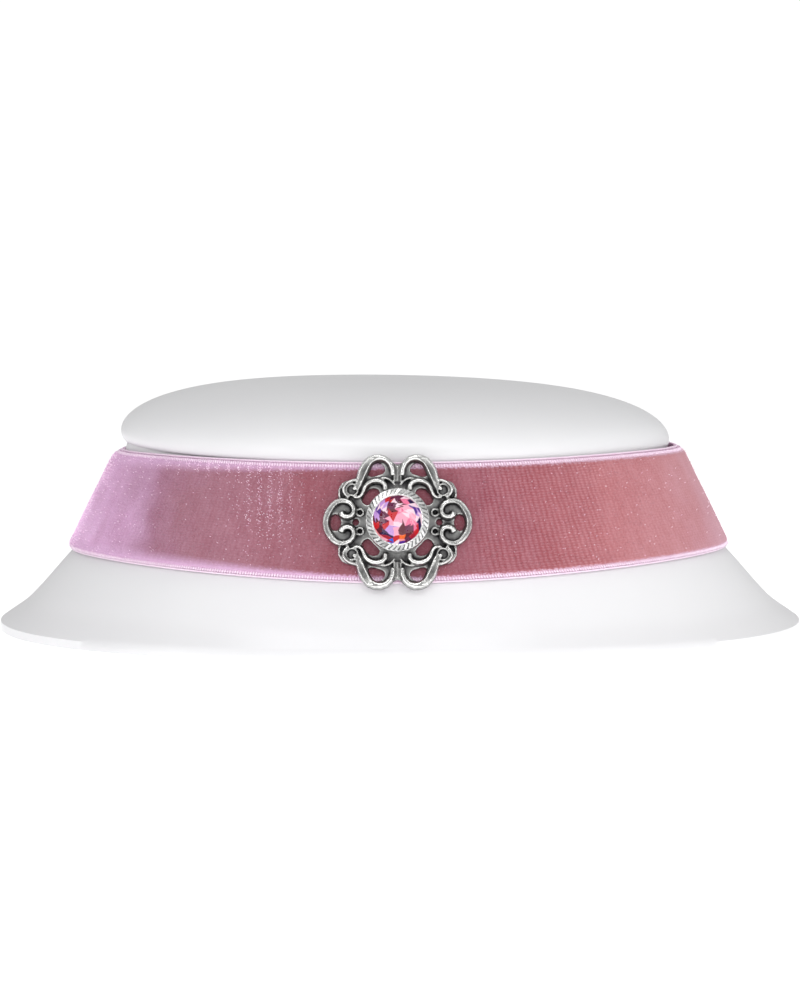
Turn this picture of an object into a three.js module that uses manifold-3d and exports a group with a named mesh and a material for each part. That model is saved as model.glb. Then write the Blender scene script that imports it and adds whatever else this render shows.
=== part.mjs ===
// A velvet choker on a plain neck bust: an elastic velvet ribbon with woven edges, a cast
// filigree ornament at its front, and a round crystal in a milled cup on the ornament.
// Millimetres, +Z up, the front towards -Y, and the origin in the middle of the bust's base.

import * as THREE from 'three';
import { mergeVertices } from 'three/addons/utils/BufferGeometryUtils.js';
import Module from 'manifold-3d';

// Clearances between pieces
const restGap = 0.3;
const fitGap = 0.3;
const stoneGap = 0.2;

// Neck bust
const baseHalfWidth = 73;
const baseHalfDepth = 56;
const footHeight = 1.5;
const neckHalfWidth = 49.8;
const neckHalfDepth = 46;
const creaseHeight = 32.9;
const creaseDepth = 0.7;
const creaseRise = 0.2;
const capOverhang = 0.5;
const lipRise = 1.7;
const domeRise = 9.8;
const capSlant = 1.9;
const capSideTilt = 0.0165;
const capShift = 0.9;
const shoulderSquareness = 0.3;

// Velvet ribbon
const ribbonWidth = 20;
const ribbonThickness = 1.5;
const selvedgeWidth = 1.3;
const selvedgeThickness = 1;
const pileShoulder = 0.5;
const ribbonBelowCrease = 0.9;
const ribbonTopGap = 1;
const ribbonSideTilt = 0.0065;
const ribbonSideRise = 1.05;

// Clasp at the back
const claspHalfWidth = 5;
const claspWall = 0.6;
const claspGrip = 2.5;
const claspEaseLength = 34;

// Cast ornament
const ornamentHalfWidth = 12.1;
const ornamentHalfHeight = 11.05;
const ornamentRaise = 0.1;
const ornamentAside = 0.4;
const castingThickness = 0.9;
const reliefHeight = 1.3;
const bandWidth = 1.2;
const bandFoot = 0.15;
const shortestEdge = 0.004;
const smallHoleRadius = 0.55;
const cupRingRadius = 0.58;
const cupRingWidth = 0.34;
const knobRadius = 0.36;
const bowlRadius = 0.95;
const bowlRimWidth = 0.28;
const fluteWidth = 0.36;
const flutePitch = 0.52;

// Cup setting and its stone
const cupWall = 0.85;
const cupFloor = 0.35;
const rimBite = 0.15;
const rimThickness = 0.35;
const rimRise = 0.25;
const cupEdge = 0.15;
const bossRadius = 2.8;
const bossFoot = 0.15;
const girdleRadius = 4.15;
const girdleHeight = 0.2;
const tableRadius = 2.4;
const crownHeight = 1.2;
const pavilionHeight = 2.2;

const cupOuterRadius = girdleRadius + stoneGap + cupWall;
const turn = 2 * Math.PI;
const stationCount = 56;
const domePower = 3.2;

// The neck and shoulders: up is a share of the height from the foot to the crease, and
// spread a share of the way from the neck's size to the base's.
const shoulderRows = [
  { up: 0, spread: 1 },
  { up: 0.1, spread: 0.8 },
  { up: 0.21, spread: 0.66 },
  { up: 0.33, spread: 0.52 },
  { up: 0.45, spread: 0.37 },
  { up: 0.58, spread: 0.276 },
  { up: 0.71, spread: 0.18 },
  { up: 0.84, spread: 0.086 },
  { up: 0.92, spread: 0.034 },
  { up: 1, spread: 0 },
];

// The ornament is one quarter, mirrored. Points are across and up, in hundredths of its half
// width and half height. A band's width is in hundredths of bandWidth, its rise above the
// plate in hundredths of reliefHeight, and its groove in hundredths of that rise.
const bandColumns = { across: 0, up: 1, width: 2, rise: 3, groove: 4 };
const quarterOutline = [
  [0, 86], [4, 87.5], [7, 90.5], [14, 96.5], [21, 99.5], [29, 100], [36, 98.5], [42, 94],
  [48.5, 86], [53.5, 75.5], [56.5, 65], [65, 63], [72, 60], [77, 55], [80, 46.5], [80, 40],
  [79.5, 35], [82.5, 33], [89, 27], [94.5, 18.5], [98, 7.5],
];
const archHole = [
  [16.5, 77], [18.5, 84], [24.5, 88.5], [30, 88], [35, 83], [39.5, 75], [40.5, 69.5],
  [35.5, 67.5], [26, 70], [18.5, 73],
];
const innerHole = [
  [23.5, 43.5], [26, 49], [33, 50.5], [39, 48], [43, 42], [46, 37], [48.5, 33], [44.5, 26.5],
  [39, 25], [31, 34],
];
const sideHoleHalf = [[75.5, 0], [77.5, 6], [80.5, 11.5], [84.5, 13], [89, 9], [91.5, 0]];
const smallHoleAcross = 56;
const quarterBands = {
  outerArch: [
    [6, 69, 80, 55, 0], [7, 80, 85, 75, 0], [12, 90, 95, 90, 0], [20, 95, 105, 100, 0],
    [29, 95, 115, 100, 10], [37.5, 90.5, 130, 100, 35], [43.5, 80.5, 150, 95, 55],
    [48, 69.5, 150, 85, 60], [51, 59, 120, 65, 35], [53.5, 50, 80, 35, 0],
  ],
  innerArch: [
    [16, 47, 80, 45, 0], [17, 56, 85, 70, 0], [23, 60.5, 90, 85, 0], [31, 61, 90, 90, 0],
    [38.5, 57.5, 80, 85, 0], [43.5, 51, 70, 75, 0], [46, 43.5, 65, 65, 0],
    [49, 38.5, 60, 55, 0], [54.5, 36.5, 50, 45, 0], [59, 37, 42, 30, 0],
  ],
  archRidge: [
    [3.5, 54.5, 32, 25, 0], [9, 62, 40, 45, 0], [17, 65.5, 40, 50, 0], [24, 65, 32, 30, 0],
  ],
  voluteRim: [
    [53, 63, 45, 40, 0], [61, 61.5, 52, 65, 0], [68, 57, 55, 80, 0], [72, 49.5, 55, 80, 0],
    [70.5, 42.5, 52, 65, 0], [65, 36, 45, 40, 0],
  ],
  voluteEdge: [
    [67, 61, 36, 20, 0], [73.5, 57, 42, 40, 0], [77.5, 49, 42, 45, 0], [78, 40.5, 40, 40, 0],
    [76.5, 35, 34, 20, 0],
  ],
  sideScroll: [
    [96, -7, 78, 28, 30], [96, 2, 100, 72, 45], [94.3, 11, 102, 72, 45], [90.5, 19, 102, 72, 45],
    [85, 27, 95, 75, 40], [78, 31.5, 90, 80, 30], [70, 31.5, 85, 85, 15], [62.5, 28, 80, 90, 0],
    [58.5, 21.5, 78, 90, 0], [58, 14.5, 80, 90, 0], [61.5, 8.8, 88, 88, 0],
    [67.5, 7.6, 90, 85, 0], [73, 9.6, 98, 80, 0], [75.5, 15, 105, 60, 0],
  ],
};
const bandSteps = {
  outerArch: 1.2, innerArch: 1.2, archRidge: 1.5, voluteRim: 1.3, voluteEdge: 1, sideScroll: 1.3,
};
const cupRingTurn = 0.25;
const knobCentre = [57.5, 50];
const bowlCentre = [60.5, 48];
const [cupRingRise, bowlRise, knobRise, fluteRise] = [0.36, 0.42, 0.55, 0.35];
const flutes = { from: 60, to: 84, count: 3 };

const wasm = await Module();
wasm.setup();

// Solids and meshes

function meshFromTriangles(points, triangles) {
  const geometry = new THREE.BufferGeometry();
  const positions = new Float32Array(points.flatMap((p) => [p.x, p.y, p.z]));
  geometry.setAttribute('position', new THREE.BufferAttribute(positions, 3));
  geometry.setIndex(triangles.flat());
  return geometry;
}

function weld(geometry) {
  const bare = geometry.clone();
  bare.deleteAttribute('normal');
  bare.deleteAttribute('uv');
  return mergeVertices(bare, 1e-4);
}

function solidOf(geometry) {
  return solidOfJoined(weld(geometry));
}

// The same for a mesh whose shared points are one already.
function solidOfJoined(bare) {
  const index = bare.index.array;
  const triVerts = [];
  for (let i = 0; i < index.length; i += 3) {
    const [a, b, c] = index.slice(i, i + 3);
    if (a !== b && b !== c && c !== a) triVerts.push(a, b, c);
  }
  return new wasm.Manifold(new wasm.Mesh({
    numProp: 3,
    vertProperties: new Float32Array(bare.attributes.position.array),
    triVerts: new Uint32Array(triVerts),
  }));
}

function geometryOf(solid) {
  const mesh = solid.getMesh();
  const geometry = new THREE.BufferGeometry();
  geometry.setAttribute('position', new THREE.BufferAttribute(mesh.vertProperties.slice(), 3));
  geometry.setIndex(Array.from(mesh.triVerts));
  return geometry;
}

function volumeSign(points, triangles) {
  let volume = 0;
  for (const [a, b, c] of triangles) {
    volume += points[a].dot(new THREE.Vector3().crossVectors(points[b], points[c]));
  }
  return Math.sign(volume);
}

// Joins a row of rings with walls and closes both ends. A ring of one point is a pole.
function loft(rings) {
  const points = [];
  const starts = rings.map((ring) => {
    const start = points.length;
    points.push(...ring);
    return start;
  });
  const triangles = [];
  for (let r = 0; r + 1 < rings.length; r += 1) {
    const [low, high] = [rings[r].length, rings[r + 1].length];
    const sides = Math.max(low, high);
    for (let i = 0; i < sides; i += 1) {
      const j = (i + 1) % sides;
      const [a, b] = [starts[r] + (i % low), starts[r] + (j % low)];
      const [c, d] = [starts[r + 1] + (i % high), starts[r + 1] + (j % high)];
      if (low > 1) triangles.push([a, b, high > 1 ? d : c]);
      if (high > 1) triangles.push([a, d, c]);
    }
  }
  triangles.push(...capOf(rings[0].length, starts[0], true));
  triangles.push(...capOf(rings.at(-1).length, starts.at(-1), false));
  if (volumeSign(points, triangles) < 0) triangles.forEach((t) => t.reverse());
  return meshFromTriangles(points, triangles);
}

// Closes a ring by rungs between its two sides, as a ladder.
function capOf(count, start, flip) {
  const triangles = [];
  for (let i = 0; i + 1 < count - 1 - i; i += 1) {
    const [a, b] = [start + i, start + i + 1];
    const [c, d] = [start + count - 2 - i, start + count - 1 - i];
    triangles.push(flip ? [a, d, b] : [a, b, d]);
    if (b !== c) triangles.push(flip ? [b, d, c] : [b, c, d]);
  }
  return triangles;
}

const mix = (from, to, share) => from + (to - from) * share;

function smoothShare(value) {
  const share = THREE.MathUtils.clamp(value, 0, 1);
  return share * share * (3 - 2 * share);
}

// The bust's surface, which the ribbon and the clasp follow

function shoulderHeight(up) {
  return mix(footHeight, creaseHeight, up);
}

function shoulderSpread(height) {
  const up = (height - footHeight) / (creaseHeight - footHeight);
  const next = shoulderRows.findIndex((row) => row.up >= up);
  if (next < 0) return 0;
  if (next === 0) return 1;
  const [low, high] = [shoulderRows[next - 1], shoulderRows[next]];
  return mix(low.spread, high.spread, (up - low.up) / (high.up - low.up));
}

function planPoint(angle, halfWidth, halfDepth, spread, height) {
  const power = 2 / (2 + shoulderSquareness * spread);
  const [c, s] = [Math.cos(angle), Math.sin(angle)];
  const x = halfWidth * Math.sign(c) * Math.abs(c) ** power;
  const y = halfDepth * Math.sign(s) * Math.abs(s) ** power;
  return new THREE.Vector3(x, y, height);
}

function onBust(angle, height, offset) {
  const spread = shoulderSpread(height);
  const halfWidth = mix(neckHalfWidth, baseHalfWidth, spread) + offset;
  const halfDepth = mix(neckHalfDepth, baseHalfDepth, spread) + offset;
  return planPoint(angle, halfWidth, halfDepth, spread, height);
}

function bustGeometry() {
  const angles = Array.from({ length: stationCount }, (_, k) => (k / stationCount) * turn);
  const foot = angles.map((angle) => planPoint(angle, baseHalfWidth, baseHalfDepth, 1, 0));
  const shoulders = shoulderRows.map(({ up }) => angles.map((angle) => {
    const point = onBust(angle, shoulderHeight(up), 0);
    return up === 1 ? slanted(point, 0) : point;
  }));
  const lipSteps = [-90, -45, 0];
  const lip = lipSteps.map((degrees) => {
    const bend = THREE.MathUtils.degToRad(degrees);
    const inset = (capOverhang + creaseDepth) * (1 - Math.cos(bend));
    const rise = creaseRise + lipRise * (1 + Math.sin(bend));
    return capRing(angles, capOverhang - inset, 1, rise);
  });
  const domeSteps = [15, 30, 44, 57, 68, 78];
  const dome = domeSteps.map((degrees) => {
    const bend = THREE.MathUtils.degToRad(degrees);
    const share = Math.cos(bend) ** (2 / domePower);
    return capRing(angles, capOverhang, share, creaseRise + lipRise + domeRise * Math.sin(bend));
  });
  const apex = [slanted(new THREE.Vector3(0, 0, creaseHeight), creaseRise + lipRise + domeRise)];
  return loft([foot, ...shoulders, ...lip, ...dome, apex]);
}

function capRing(angles, overhang, share, rise) {
  const halfWidth = (neckHalfWidth + overhang) * share;
  const halfDepth = (neckHalfDepth + overhang) * share;
  return angles.map((angle) => {
    return slanted(planPoint(angle, halfWidth, halfDepth, 0, creaseHeight), rise);
  });
}

// The cap is lower in front and on its right, and stands a little to the left.
function slanted(point, rise) {
  const slope = (capSlant / neckHalfDepth) * point.y - capSideTilt * point.x;
  return new THREE.Vector3(point.x - capShift, point.y, point.z + slope + rise);
}

// Ribbon

const ribbonTop = creaseHeight - ribbonBelowCrease;
const backAngle = turn / 4;
const frontAngle = 3 * backAngle;
const claspStandOff = restGap + claspWall + fitGap;
const ribbonRows = [0, 0.25, 0.5, 0.75, 1];

// Angle at which the bust's back lies so far across, at a height.
function backAngleAt(across, height) {
  const spread = shoulderSpread(height);
  const share = Math.abs(across) / mix(neckHalfWidth, baseHalfWidth, spread);
  return backAngle - Math.sign(across) * Math.asin(share ** (1 + (shoulderSquareness * spread) / 2));
}

function ribbonStandOff(angle, share) {
  const resting = mix(ribbonTopGap, restGap, share);
  const fromFront = THREE.MathUtils.euclideanModulo(angle - backAngle, turn) - turn / 2;
  const beside = (turn / 2 - Math.abs(fromFront)) * neckHalfWidth - claspHalfWidth;
  return mix(claspStandOff, resting, smoothShare(beside / claspEaseLength));
}

// Height of the ribbon at an angle, for a distance down its width. It rises to both sides.
function ribbonHeight(angle, down) {
  const across = onBust(angle, ribbonTop, 0).x;
  const rise = ribbonSideRise * (across / neckHalfWidth) ** 2;
  const top = ribbonTop + ribbonSideTilt * across + rise;
  const start = onBust(angle, top, ribbonTopGap);
  let [high, low] = [top, top - ribbonWidth];
  for (let step = 0; step < 24; step += 1) {
    const middle = (high + low) / 2;
    const share = (top - middle) / ribbonWidth;
    const end = onBust(angle, middle, mix(ribbonTopGap, restGap, share));
    if (start.distanceTo(end) < ribbonWidth) high = middle;
    else low = middle;
  }
  return mix(top, low, down / ribbonWidth);
}

function onRibbon(angle, down, offset) {
  const standOff = ribbonStandOff(angle, down / ribbonWidth);
  return onBust(angle, ribbonHeight(angle, down), standOff + offset);
}

// The cross-section of the ribbon: down its width, and out from the neck.
function ribbonSection() {
  const pile = selvedgeWidth + pileShoulder;
  const middle = ribbonWidth / 2;
  const back = ribbonRows.map((share) => [share * ribbonWidth, 0]);
  return [
    ...back,
    [ribbonWidth, selvedgeThickness],
    [ribbonWidth - selvedgeWidth, selvedgeThickness],
    [ribbonWidth - pile, ribbonThickness],
    [middle, ribbonThickness],
    [pile, ribbonThickness],
    [selvedgeWidth, selvedgeThickness],
    [0, selvedgeThickness],
  ];
}

// The loop runs from one end in the clasp round the front to the other. Between the ends it
// shares the bust's angles, so that their flat sides lie parallel.
function ribbonGeometry() {
  const section = ribbonSection();
  const grip = claspHalfWidth - claspGrip;
  const endRing = (across) => section.map(([down, out]) => {
    const angle = backAngleAt(across, ribbonHeight(backAngle, down));
    return onRibbon(angle, down, out);
  });
  const between = Array.from({ length: stationCount - 1 }, (_, k) => {
    return backAngle + ((k + 1) / stationCount) * turn;
  }).filter((angle) => Math.abs(onBust(angle, ribbonTop, 0).x) > 1.3 * grip
    || Math.abs(angle - frontAngle) < backAngle);
  return loft([
    endRing(-grip),
    ...between.map((angle) => section.map(([down, out]) => onRibbon(angle, down, out))),
    endRing(grip),
  ]);
}

// Clasp: a plate bent to the neck, with a slot from each side for a ribbon end

function backBlock(fromAcross, toAcross, upOver, innerOut, outerOut) {
  const steps = [0, 0.25, 0.5, 0.75, 1];
  const rows = ribbonRows.map((share) => mix(-upOver, ribbonWidth + upOver, share));
  const section = [...rows.map((down) => [down, innerOut]),
    ...rows.map((down) => [down, outerOut]).reverse()];
  return loft(steps.map((step) => section.map(([down, out]) => {
    const across = mix(fromAcross, toAcross, step);
    const angle = backAngleAt(across, ribbonHeight(backAngle, down));
    return onBust(angle, ribbonHeight(angle, down), out);
  })));
}

function claspGeometry() {
  const slotOut = restGap + claspWall;
  const slotDeep = ribbonThickness + 2 * fitGap;
  const outerOut = slotOut + slotDeep + claspWall;
  const over = fitGap + claspWall;
  let clasp = solidOf(backBlock(-claspHalfWidth, claspHalfWidth, over, restGap, outerOut));
  const slotEnd = claspHalfWidth - claspGrip - fitGap;
  for (const side of [-1, 1]) {
    const [from, to] = [side * slotEnd, side * (claspHalfWidth + fitGap)].sort((a, b) => a - b);
    const slot = backBlock(from, to, fitGap, slotOut, slotOut + slotDeep);
    clasp = clasp.subtract(solidOf(slot));
  }
  return geometryOf(clasp);
}

// Ornament, made flat with its back on z = 0, then bent to the ribbon's curve

function ornamentPoint([across, up]) {
  return new THREE.Vector2((across / 100) * ornamentHalfWidth, (up / 100) * ornamentHalfHeight);
}

function smoothLoop(rows, mirrorAcross, mirrorUp, pointCount) {
  const spots = rows.map(ornamentPoint);
  const curve = new THREE.CatmullRomCurve3(
    spots.map((p) => new THREE.Vector3(p.x * mirrorAcross, p.y * mirrorUp, 0)), true,
  );
  return curve.getSpacedPoints(pointCount).slice(0, -1).map((p) => new THREE.Vector2(p.x, p.y));
}

function castingOutline() {
  const quarter = quarterOutline.map(ornamentPoint);
  const right = [...quarter, ...quarter.map((p) => new THREE.Vector2(p.x, -p.y)).reverse()];
  const left = right.slice(1, -1).map((p) => new THREE.Vector2(-p.x, p.y));
  return new THREE.Shape([...left, ...right.reverse()]);
}

function roundHole(x, y, radius) {
  return new THREE.Path().absarc(x, y, radius, 0, turn);
}

function castingPlate() {
  const shape = castingOutline();
  for (const across of [-1, 1]) {
    for (const up of [-1, 1]) {
      shape.holes.push(new THREE.Path(smoothLoop(archHole, across, up, 12)));
      shape.holes.push(new THREE.Path(smoothLoop(innerHole, across, up, 12)));
    }
    const sideHole = [...sideHoleHalf, ...sideHoleHalf.slice(1, -1).reverse().map(([a, u]) => [a, -u])];
    shape.holes.push(new THREE.Path(smoothLoop(sideHole, across, 1, 12)));
    const smallHole = ornamentPoint([smallHoleAcross * across, 0]);
    shape.holes.push(roundHole(smallHole.x, 0, smallHoleRadius));
  }
  shape.holes.push(roundHole(0, 0, bossRadius + fitGap));
  const settings = { depth: castingThickness, bevelEnabled: false, curveSegments: 5 };
  return solidOf(new THREE.ExtrudeGeometry(shape, settings));
}

// A raised band with a rounded or channelled back, swept along its table's points.
function bandSolid(rows, stepsPerRow) {
  const read = (name) => rows.map((row) => row[bandColumns[name]]);
  const line = new THREE.CatmullRomCurve3(rows.map((row) => {
    const p = ornamentPoint(row);
    return new THREE.Vector3(p.x, p.y, 0);
  }));
  const count = Math.round((rows.length - 1) * stepsPerRow);
  const at = (values, share) => {
    const place = share * (values.length - 1);
    const low = Math.min(Math.floor(place), values.length - 2);
    return mix(values[low], values[low + 1], place - low);
  };
  const rings = Array.from({ length: count + 1 }, (_, k) => {
    const share = k / count;
    const centre = line.getPoint(share);
    const along = line.getTangent(share);
    const half = (at(read('width'), share) / 200) * bandWidth;
    const rise = (at(read('rise'), share) / 100) * reliefHeight;
    const groove = (at(read('groove'), share) / 100) * rise;
    return bandSection(half, rise, groove).map(([side, height]) => new THREE.Vector3(
      centre.x - along.y * side, centre.y + along.x * side, height,
    ));
  });
  return solidOf(loft(rings));
}

function bandSection(half, rise, groove) {
  const top = castingThickness + rise;
  return [
    [-half, bandFoot],
    [-half, castingThickness + 0.2 * rise],
    [-0.58 * half, top - 0.14 * rise],
    [-0.1 * half, top - groove],
    [0.1 * half, top - groove],
    [0.58 * half, top - 0.14 * rise],
    [half, castingThickness + 0.2 * rise],
    [half, bandFoot],
  ];
}

function ringSolid(spot, radius, width, rise, sides) {
  const foot = castingThickness / 2;
  const top = castingThickness + rise;
  const profile = [
    [radius - width / 2, foot], [radius + width / 2, foot],
    [radius + width / 2, top - width / 3], [radius, top], [radius - width / 2, top - width / 3],
  ];
  const points = [...profile, profile[0]].map(([r, z]) => new THREE.Vector2(r, z));
  const ring = new THREE.LatheGeometry(points, sides);
  ring.rotateX(turn / 4);
  ring.translate(spot.x, spot.y, 0);
  return uprightSolid(ring);
}

// A lathe turned upright may have its faces inward, so it is turned out where it has.
function uprightSolid(geometry) {
  const bare = weld(geometry);
  const at = bare.attributes.position;
  const points = Array.from({ length: at.count }, (_, i) => new THREE.Vector3().fromBufferAttribute(at, i));
  const triangles = [];
  for (let i = 0; i < bare.index.count; i += 3) {
    triangles.push([bare.index.getX(i), bare.index.getX(i + 1), bare.index.getX(i + 2)]);
  }
  if (volumeSign(points, triangles) < 0) triangles.forEach((t) => t.reverse());
  return solidOf(meshFromTriangles(points, triangles));
}

function knobSolid(spot, radius, rise) {
  const foot = castingThickness / 2;
  const top = castingThickness + rise;
  const points = [
    [0, foot], [radius, foot], [radius, top - radius * 0.6], [radius * 0.6, top - radius * 0.15],
    [0, top],
  ].map(([r, z]) => new THREE.Vector2(r, z));
  const knob = new THREE.LatheGeometry(points, 8);
  knob.rotateX(turn / 4);
  knob.translate(spot.x, spot.y, 0);
  return uprightSolid(knob);
}

function quarterRelief() {
  const ringReach = cupOuterRadius + fitGap + cupRingRadius + cupRingWidth / 2;
  const ringSpot = new THREE.Vector2(ringReach, 0).rotateAround(new THREE.Vector2(), cupRingTurn);
  let relief = ringSolid(ringSpot, cupRingRadius, cupRingWidth, cupRingRise * reliefHeight, 10);
  const bowlSpot = ornamentPoint(bowlCentre);
  relief = relief.add(ringSolid(bowlSpot, bowlRadius, bowlRimWidth, bowlRise * reliefHeight, 12));
  relief = relief.add(knobSolid(ornamentPoint(knobCentre), knobRadius, knobRise * reliefHeight));
  for (const [name, rows] of Object.entries(quarterBands)) {
    relief = relief.add(bandSolid(rows, bandSteps[name]));
  }
  return relief;
}

function mirrored(solid, across, up) {
  const geometry = geometryOf(solid);
  geometry.scale(across, up, 1);
  if (across * up < 0) {
    const index = geometry.index.array;
    for (let i = 0; i < index.length; i += 3) {
      [index[i], index[i + 1]] = [index[i + 1], index[i]];
    }
  }
  return solidOfJoined(geometry);
}

// Upright ridges of the short column between two arches.
function fluteSolid(x, side) {
  const from = (flutes.from / 100) * ornamentHalfHeight * side;
  const to = (flutes.to / 100) * ornamentHalfHeight * side;
  const rise = fluteRise * reliefHeight;
  const half = fluteWidth / 2;
  const ring = (y) => [
    new THREE.Vector3(x - half, y, castingThickness / 2),
    new THREE.Vector3(x - half, y, castingThickness + rise / 3),
    new THREE.Vector3(x, y, castingThickness + rise),
    new THREE.Vector3(x + half, y, castingThickness + rise / 3),
    new THREE.Vector3(x + half, y, castingThickness / 2),
  ];
  return solidOf(loft([ring(from), ring(to)]));
}

// The room that the cup needs above the plate.
function cupRoom() {
  const reach = cupOuterRadius + fitGap;
  const top = castingThickness + 2 * reliefHeight;
  const points = [[0, castingThickness], [reach, castingThickness], [reach, top], [0, top]];
  const room = new THREE.LatheGeometry(points.map(([r, z]) => new THREE.Vector2(r, z)), 36);
  room.rotateX(turn / 4);
  return uprightSolid(room);
}

function flatCasting() {
  const quarter = quarterRelief();
  let casting = castingPlate();
  for (const across of [-1, 1]) {
    for (const up of [-1, 1]) {
      casting = casting.add(mirrored(quarter, across, up));
    }
  }
  for (const side of [-1, 1]) {
    for (let k = 0; k < flutes.count; k += 1) {
      casting = casting.add(fluteSolid((k - (flutes.count - 1) / 2) * flutePitch, side));
    }
  }
  return geometryOf(casting.subtract(cupRoom()).simplify(shortestEdge));
}

// Splits every triangle that crosses the upright line at x, so that a bend can follow there.
function splitAt(points, triangles, x) {
  const middles = new Map();
  const between = (a, b) => {
    const key = a < b ? `${a} ${b}` : `${b} ${a}`;
    if (!middles.has(key)) {
      const [p, q] = a < b ? [points[a], points[b]] : [points[b], points[a]];
      middles.set(key, points.length);
      points.push(new THREE.Vector3().lerpVectors(p, q, (x - p.x) / (q.x - p.x)));
    }
    return middles.get(key);
  };
  const side = (i) => (Math.abs(points[i].x - x) < 1e-3 ? 0 : Math.sign(points[i].x - x));
  return triangles.flatMap((triangle) => {
    const sides = triangle.map(side);
    if (!sides.includes(1) || !sides.includes(-1)) return [triangle];
    const onLine = sides.indexOf(0);
    if (onLine >= 0) {
      const [a, b, c] = [0, 1, 2].map((k) => triangle[(onLine + k) % 3]);
      const middle = between(b, c);
      return [[a, b, middle], [a, middle, c]];
    }
    const lone = sides.findIndex((s) => sides.filter((other) => other === s).length === 1);
    const [a, b, c] = [0, 1, 2].map((k) => triangle[(lone + k) % 3]);
    const [ab, ac] = [between(a, b), between(a, c)];
    return [[a, ab, ac], [ab, b, c], [ab, c, ac]];
  });
}

function bent(geometry, radius) {
  const at = geometry.attributes.position;
  const points = Array.from({ length: at.count }, (_, i) => new THREE.Vector3().fromBufferAttribute(at, i));
  let triangles = [];
  for (let i = 0; i < geometry.index.count; i += 3) {
    triangles.push([geometry.index.getX(i), geometry.index.getX(i + 1), geometry.index.getX(i + 2)]);
  }
  const bendLines = 5;
  for (let k = 1; k <= bendLines; k += 1) {
    const x = mix(-ornamentHalfWidth, ornamentHalfWidth, k / (bendLines + 1));
    triangles = splitAt(points, triangles, x);
  }
  const curved = points.map((p) => new THREE.Vector3(
    (radius + p.z) * Math.sin(p.x / radius), p.y, (radius + p.z) * Math.cos(p.x / radius) - radius,
  ));
  return meshFromTriangles(curved, triangles);
}

// The ribbon's curve and lean at the front, which the ornament takes
const ornamentDown = ribbonWidth / 2 - ornamentRaise;
const leanFrom = onRibbon(frontAngle, 0.1 * ribbonWidth, ribbonThickness);
const leanTo = onRibbon(frontAngle, 0.9 * ribbonWidth, ribbonThickness);
const lean = Math.atan2(leanFrom.y - leanTo.y, leanFrom.z - leanTo.z);
const besideAngle = frontAngle + Math.asin(ornamentHalfWidth / neckHalfWidth);
const besidePoint = onRibbon(besideAngle, ornamentDown, ribbonThickness);
const frontPoint = onRibbon(frontAngle, ornamentDown, ribbonThickness);
const sag = besidePoint.y - frontPoint.y;
const bendRadius = (besidePoint.x ** 2 + sag ** 2) / (2 * sag);

function seatPoint() {
  const share = (leanFrom.z - frontPoint.z) / (leanFrom.z - leanTo.z);
  const y = Math.min(frontPoint.y, mix(leanFrom.y, leanTo.y, share));
  return new THREE.Vector3(-ornamentAside, y - restGap / Math.cos(lean), frontPoint.z);
}

// Cup and stone, round the ornament's own axis

const cupFoot = castingThickness + restGap;
const cupDip = bossFoot + cupFloor;
const culet = cupDip + 2 * stoneGap;
const girdleFoot = culet + pavilionHeight;
const girdleTop = girdleFoot + girdleHeight;
const rimFoot = girdleTop + stoneGap + rimBite;
const rimTop = rimFoot + rimThickness;

function cupGeometry() {
  const rimInnerRadius = girdleRadius - rimBite;
  const seatRadius = girdleRadius + stoneGap;
  const profile = [
    [0, bossFoot], [bossRadius - cupEdge, bossFoot], [bossRadius, bossFoot + cupEdge],
    [bossRadius, cupFoot], [cupOuterRadius - cupEdge, cupFoot],
    [cupOuterRadius, cupFoot + cupEdge], [cupOuterRadius, rimTop - rimRise - cupEdge],
    [cupOuterRadius - cupEdge, rimTop - rimRise], [rimInnerRadius + cupEdge, rimTop],
    [rimInnerRadius, rimTop - cupEdge], [rimInnerRadius, rimFoot], [seatRadius, girdleTop],
    [seatRadius, girdleFoot - stoneGap], [0, cupDip],
  ].map(([r, z]) => new THREE.Vector2(r, z));
  const cup = new THREE.LatheGeometry(profile, 36);
  cup.rotateX(turn / 4);
  return geometryOf(uprightSolid(cup));
}

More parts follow.
